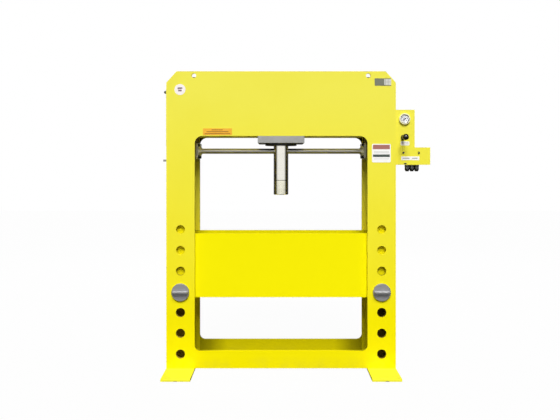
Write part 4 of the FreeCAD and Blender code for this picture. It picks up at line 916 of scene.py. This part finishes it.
tank_paint = machine_paint("tank_paint", (0.045, 0.048, 0.052, 1.0), (0.030, 0.030, 0.030, 1.0))
motor_paint = machine_paint("motor_paint", (0.075, 0.095, 0.12, 1.0), (0.050, 0.060, 0.070, 1.0))
cover_with(tank_paint, "oil_tank", "tank_lid")
cover_with(motor_paint, "motor")
tube_steel = rod_finish("tube_steel", (0.50, 0.49, 0.45, 1.0), (0.35, 0.34, 0.31, 1.0), 0.30, 0.85, 0.5)
cover_with(tube_steel, "hydraulic_pipes")
for piece in ("oil_tank", "tank_lid", "pump", "access_cover", "power_unit_shelf"):
    soften_edges(piece, machined_round)

lid_low, lid_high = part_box("tank_lid")
motor_low, motor_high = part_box("motor")
pump_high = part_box("pump")[1]
motor_y = middle_of("motor")[1]
pump_z = middle_of("pump")[2]

rightwards = (1, 0, 0)
backwards = (0, 1, 0)
lid_bolts_a_side = 6
lid_bolt_inset = 0.016
foot_bolt_half = 0.053
foot_height = 0.010
pump_bolt_half = 0.029
pump_bolt_z = pump_z - 0.001
unit_bolts = bmesh.new()
for i in range(lid_bolts_a_side):
    run = lid_high[0] - lid_low[0] - 2 * lid_bolt_inset
    x = lid_low[0] + lid_bolt_inset + run * i / (lid_bolts_a_side - 1)
    for y in (lid_low[1] + lid_bolt_inset, lid_high[1] - lid_bolt_inset):
        hex_head(unit_bolts, (x, y, lid_high[2]), upwards, radius=0.006, height=0.004)
for x in (motor_low[0] + 0.092, motor_high[0] - 0.066):
    for y in (motor_y - foot_bolt_half, motor_y + foot_bolt_half):
        hex_head(unit_bolts, (x, y, motor_low[2] + foot_height), upwards, radius=0.0075, height=0.005)
for y in (motor_y - pump_bolt_half, motor_y + pump_bolt_half):
    for z in (pump_bolt_z - pump_bolt_half, pump_bolt_z + pump_bolt_half):
        hex_head(unit_bolts, (pump_high[0], y, z), rightwards, radius=0.006, height=0.004)
mesh_object("unit_bolts", unit_bolts, shaft_steel, "frame")


def rounded_block(size, edge_width, segments, place):
    """A box with rounded edges, centred on a point."""
    block = bmesh.new()
    bmesh.ops.create_cube(block, size=1.0)
    bmesh.ops.scale(block, verts=block.verts, vec=size)
    bmesh.ops.bevel(block, geom=block.edges[:], offset=edge_width, segments=segments, affect="EDGES",
                    profile=0.5, material=-1)
    bmesh.ops.translate(block, verts=block.verts, vec=place)
    return block


lid_size = (0.104, 0.094, 0.006)
lid_x = motor_low[0] + 0.162
lid_top = motor_high[2] + lid_size[2]
lid_screw_x = 0.042
lid_screw_y = 0.037
lid_screw_height = 0.003
terminal_lid = rounded_block(lid_size, 0.002, 2, (lid_x, motor_y, lid_top - lid_size[2] / 2))
for x in (lid_x - lid_screw_x, lid_x + lid_screw_x):
    for y in (motor_y - lid_screw_y, motor_y + lid_screw_y):
        bmesh.ops.create_cone(terminal_lid, cap_ends=True, segments=16, radius1=0.004, radius2=0.0032,
                              depth=lid_screw_height,
                              matrix=Matrix.Translation((x, y, lid_top + lid_screw_height / 2)))
mesh_object("terminal_lid", terminal_lid, motor_paint, "frame")

wire_radius = 0.0016
spoke_length = 0.110
spoke_count = 6
grille_z = pump_high[2] - 0.033
grille_centre = Matrix.Translation((motor_low[0] - 0.001, motor_y, grille_z))
grille = bmesh.new()
for ring_radius in (0.014, 0.024, 0.034, 0.044, 0.054):
    ring = bmesh.new()
    upright = Matrix.Rotation(math.pi / 2, 4, "Y") @ Matrix.Rotation(math.pi / 2, 4, "X")
    bmesh.ops.create_circle(ring, segments=8, radius=wire_radius,
                            matrix=Matrix.Translation((0.0, ring_radius, 0.0)) @ upright)
    bmesh.ops.spin(ring, geom=ring.verts[:] + ring.edges[:], cent=(0, 0, 0), axis=(1, 0, 0), angle=math.tau,
                   steps=48, use_merge=True)
    bmesh.ops.transform(ring, verts=ring.verts, matrix=grille_centre)
    add_to(grille, ring)
for i in range(spoke_count):
    spoke = bmesh.new()
    bmesh.ops.create_cone(spoke, cap_ends=True, segments=8, radius1=wire_radius, radius2=wire_radius,
                          depth=spoke_length)
    turn = Matrix.Rotation(math.pi * i / spoke_count, 4, "X")
    bmesh.ops.transform(spoke, verts=spoke.verts, matrix=grille_centre @ turn)
    add_to(grille, spoke)
mesh_object("fan_grille", grille, black_steel, "frame")

valve_low, valve_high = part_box("valve_body")
valve_z = middle_of("valve_body")[2]
tank_low, tank_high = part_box("oil_tank")
tank_y = middle_of("oil_tank")[1]
block_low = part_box("head_block")[0][2]
valve_port_pitch = 0.014
tank_port_inset = 0.050
port_heights = (valve_z - 0.027, block_low + 0.074, valve_z - 0.027, block_low + 0.055)
nut_ends = [((valve_low[0] + valve_port_pitch * (i + 1), valve_high[1], z), backwards)
            for i, z in enumerate(port_heights)]
nut_ends.append(((tank_high[0], tank_y - tank_port_inset, tank_high[2] - tank_port_inset), rightwards))
nut_ends.append(((pump_high[0], motor_y, pump_z), rightwards))
pipe_nuts = bmesh.new()
for place, direction in nut_ends:
    hex_head(pipe_nuts, place, direction, radius=0.0072, height=0.013)
mesh_object("pipe_nuts", pipe_nuts, tube_steel, "frame")

sight_x = tank_low[0] + 0.06
sight_z = tank_low[2] + 0.075
oil_level = 0.012
sight = bmesh.new()
for size in ((0.026, 0.008, 0.096), (0.012, 0.012, 0.070)):
    add_to(sight, rounded_block(size, 0.0025, 3, (sight_x, tank_high[1], sight_z)))
sight_finish = Finish("sight_glass", {"Specular IOR Level": 0.5})
across, _, up = sight_finish.parts(sight_finish.place(centre=(sight_x, 0.0, sight_z)))
window = (abs(across) < 0.0058) * (abs(up) < 0.034)
oil = sight_finish.blend(up > oil_level, (0.45, 0.27, 0.03, 1.0), (0.55, 0.55, 0.50, 1.0))
sight_finish.feed("Base Color", sight_finish.blend(window, (0.03, 0.03, 0.03, 1.0), oil))
sight_finish.feed("Roughness", 0.12 + 0.1 * sight_finish.noise(40.0, 2.0))
mesh_object("sight_glass", sight, sight_finish.material, "frame")

rib_count = 18
rib_height = 0.022
rib_radius = 0.0016
filler_low, filler_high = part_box("filler_cap")
filler_x, filler_y, _ = middle_of("filler_cap")
rib_circle = (filler_high[0] - filler_low[0]) / 2 - 0.0006
cap_ribs = bmesh.new()
for i in range(rib_count):
    angle = math.tau * i / rib_count
    place = (filler_x + rib_circle * math.cos(angle), filler_y + rib_circle * math.sin(angle),
             filler_low[2] + 0.015)
    bmesh.ops.create_cone(cap_ribs, cap_ends=True, segments=8, radius1=rib_radius, radius2=rib_radius,
                          depth=rib_height, matrix=Matrix.Translation(place))
mesh_object("filler_cap_ribs", cap_ribs, black_plastic, "filler")
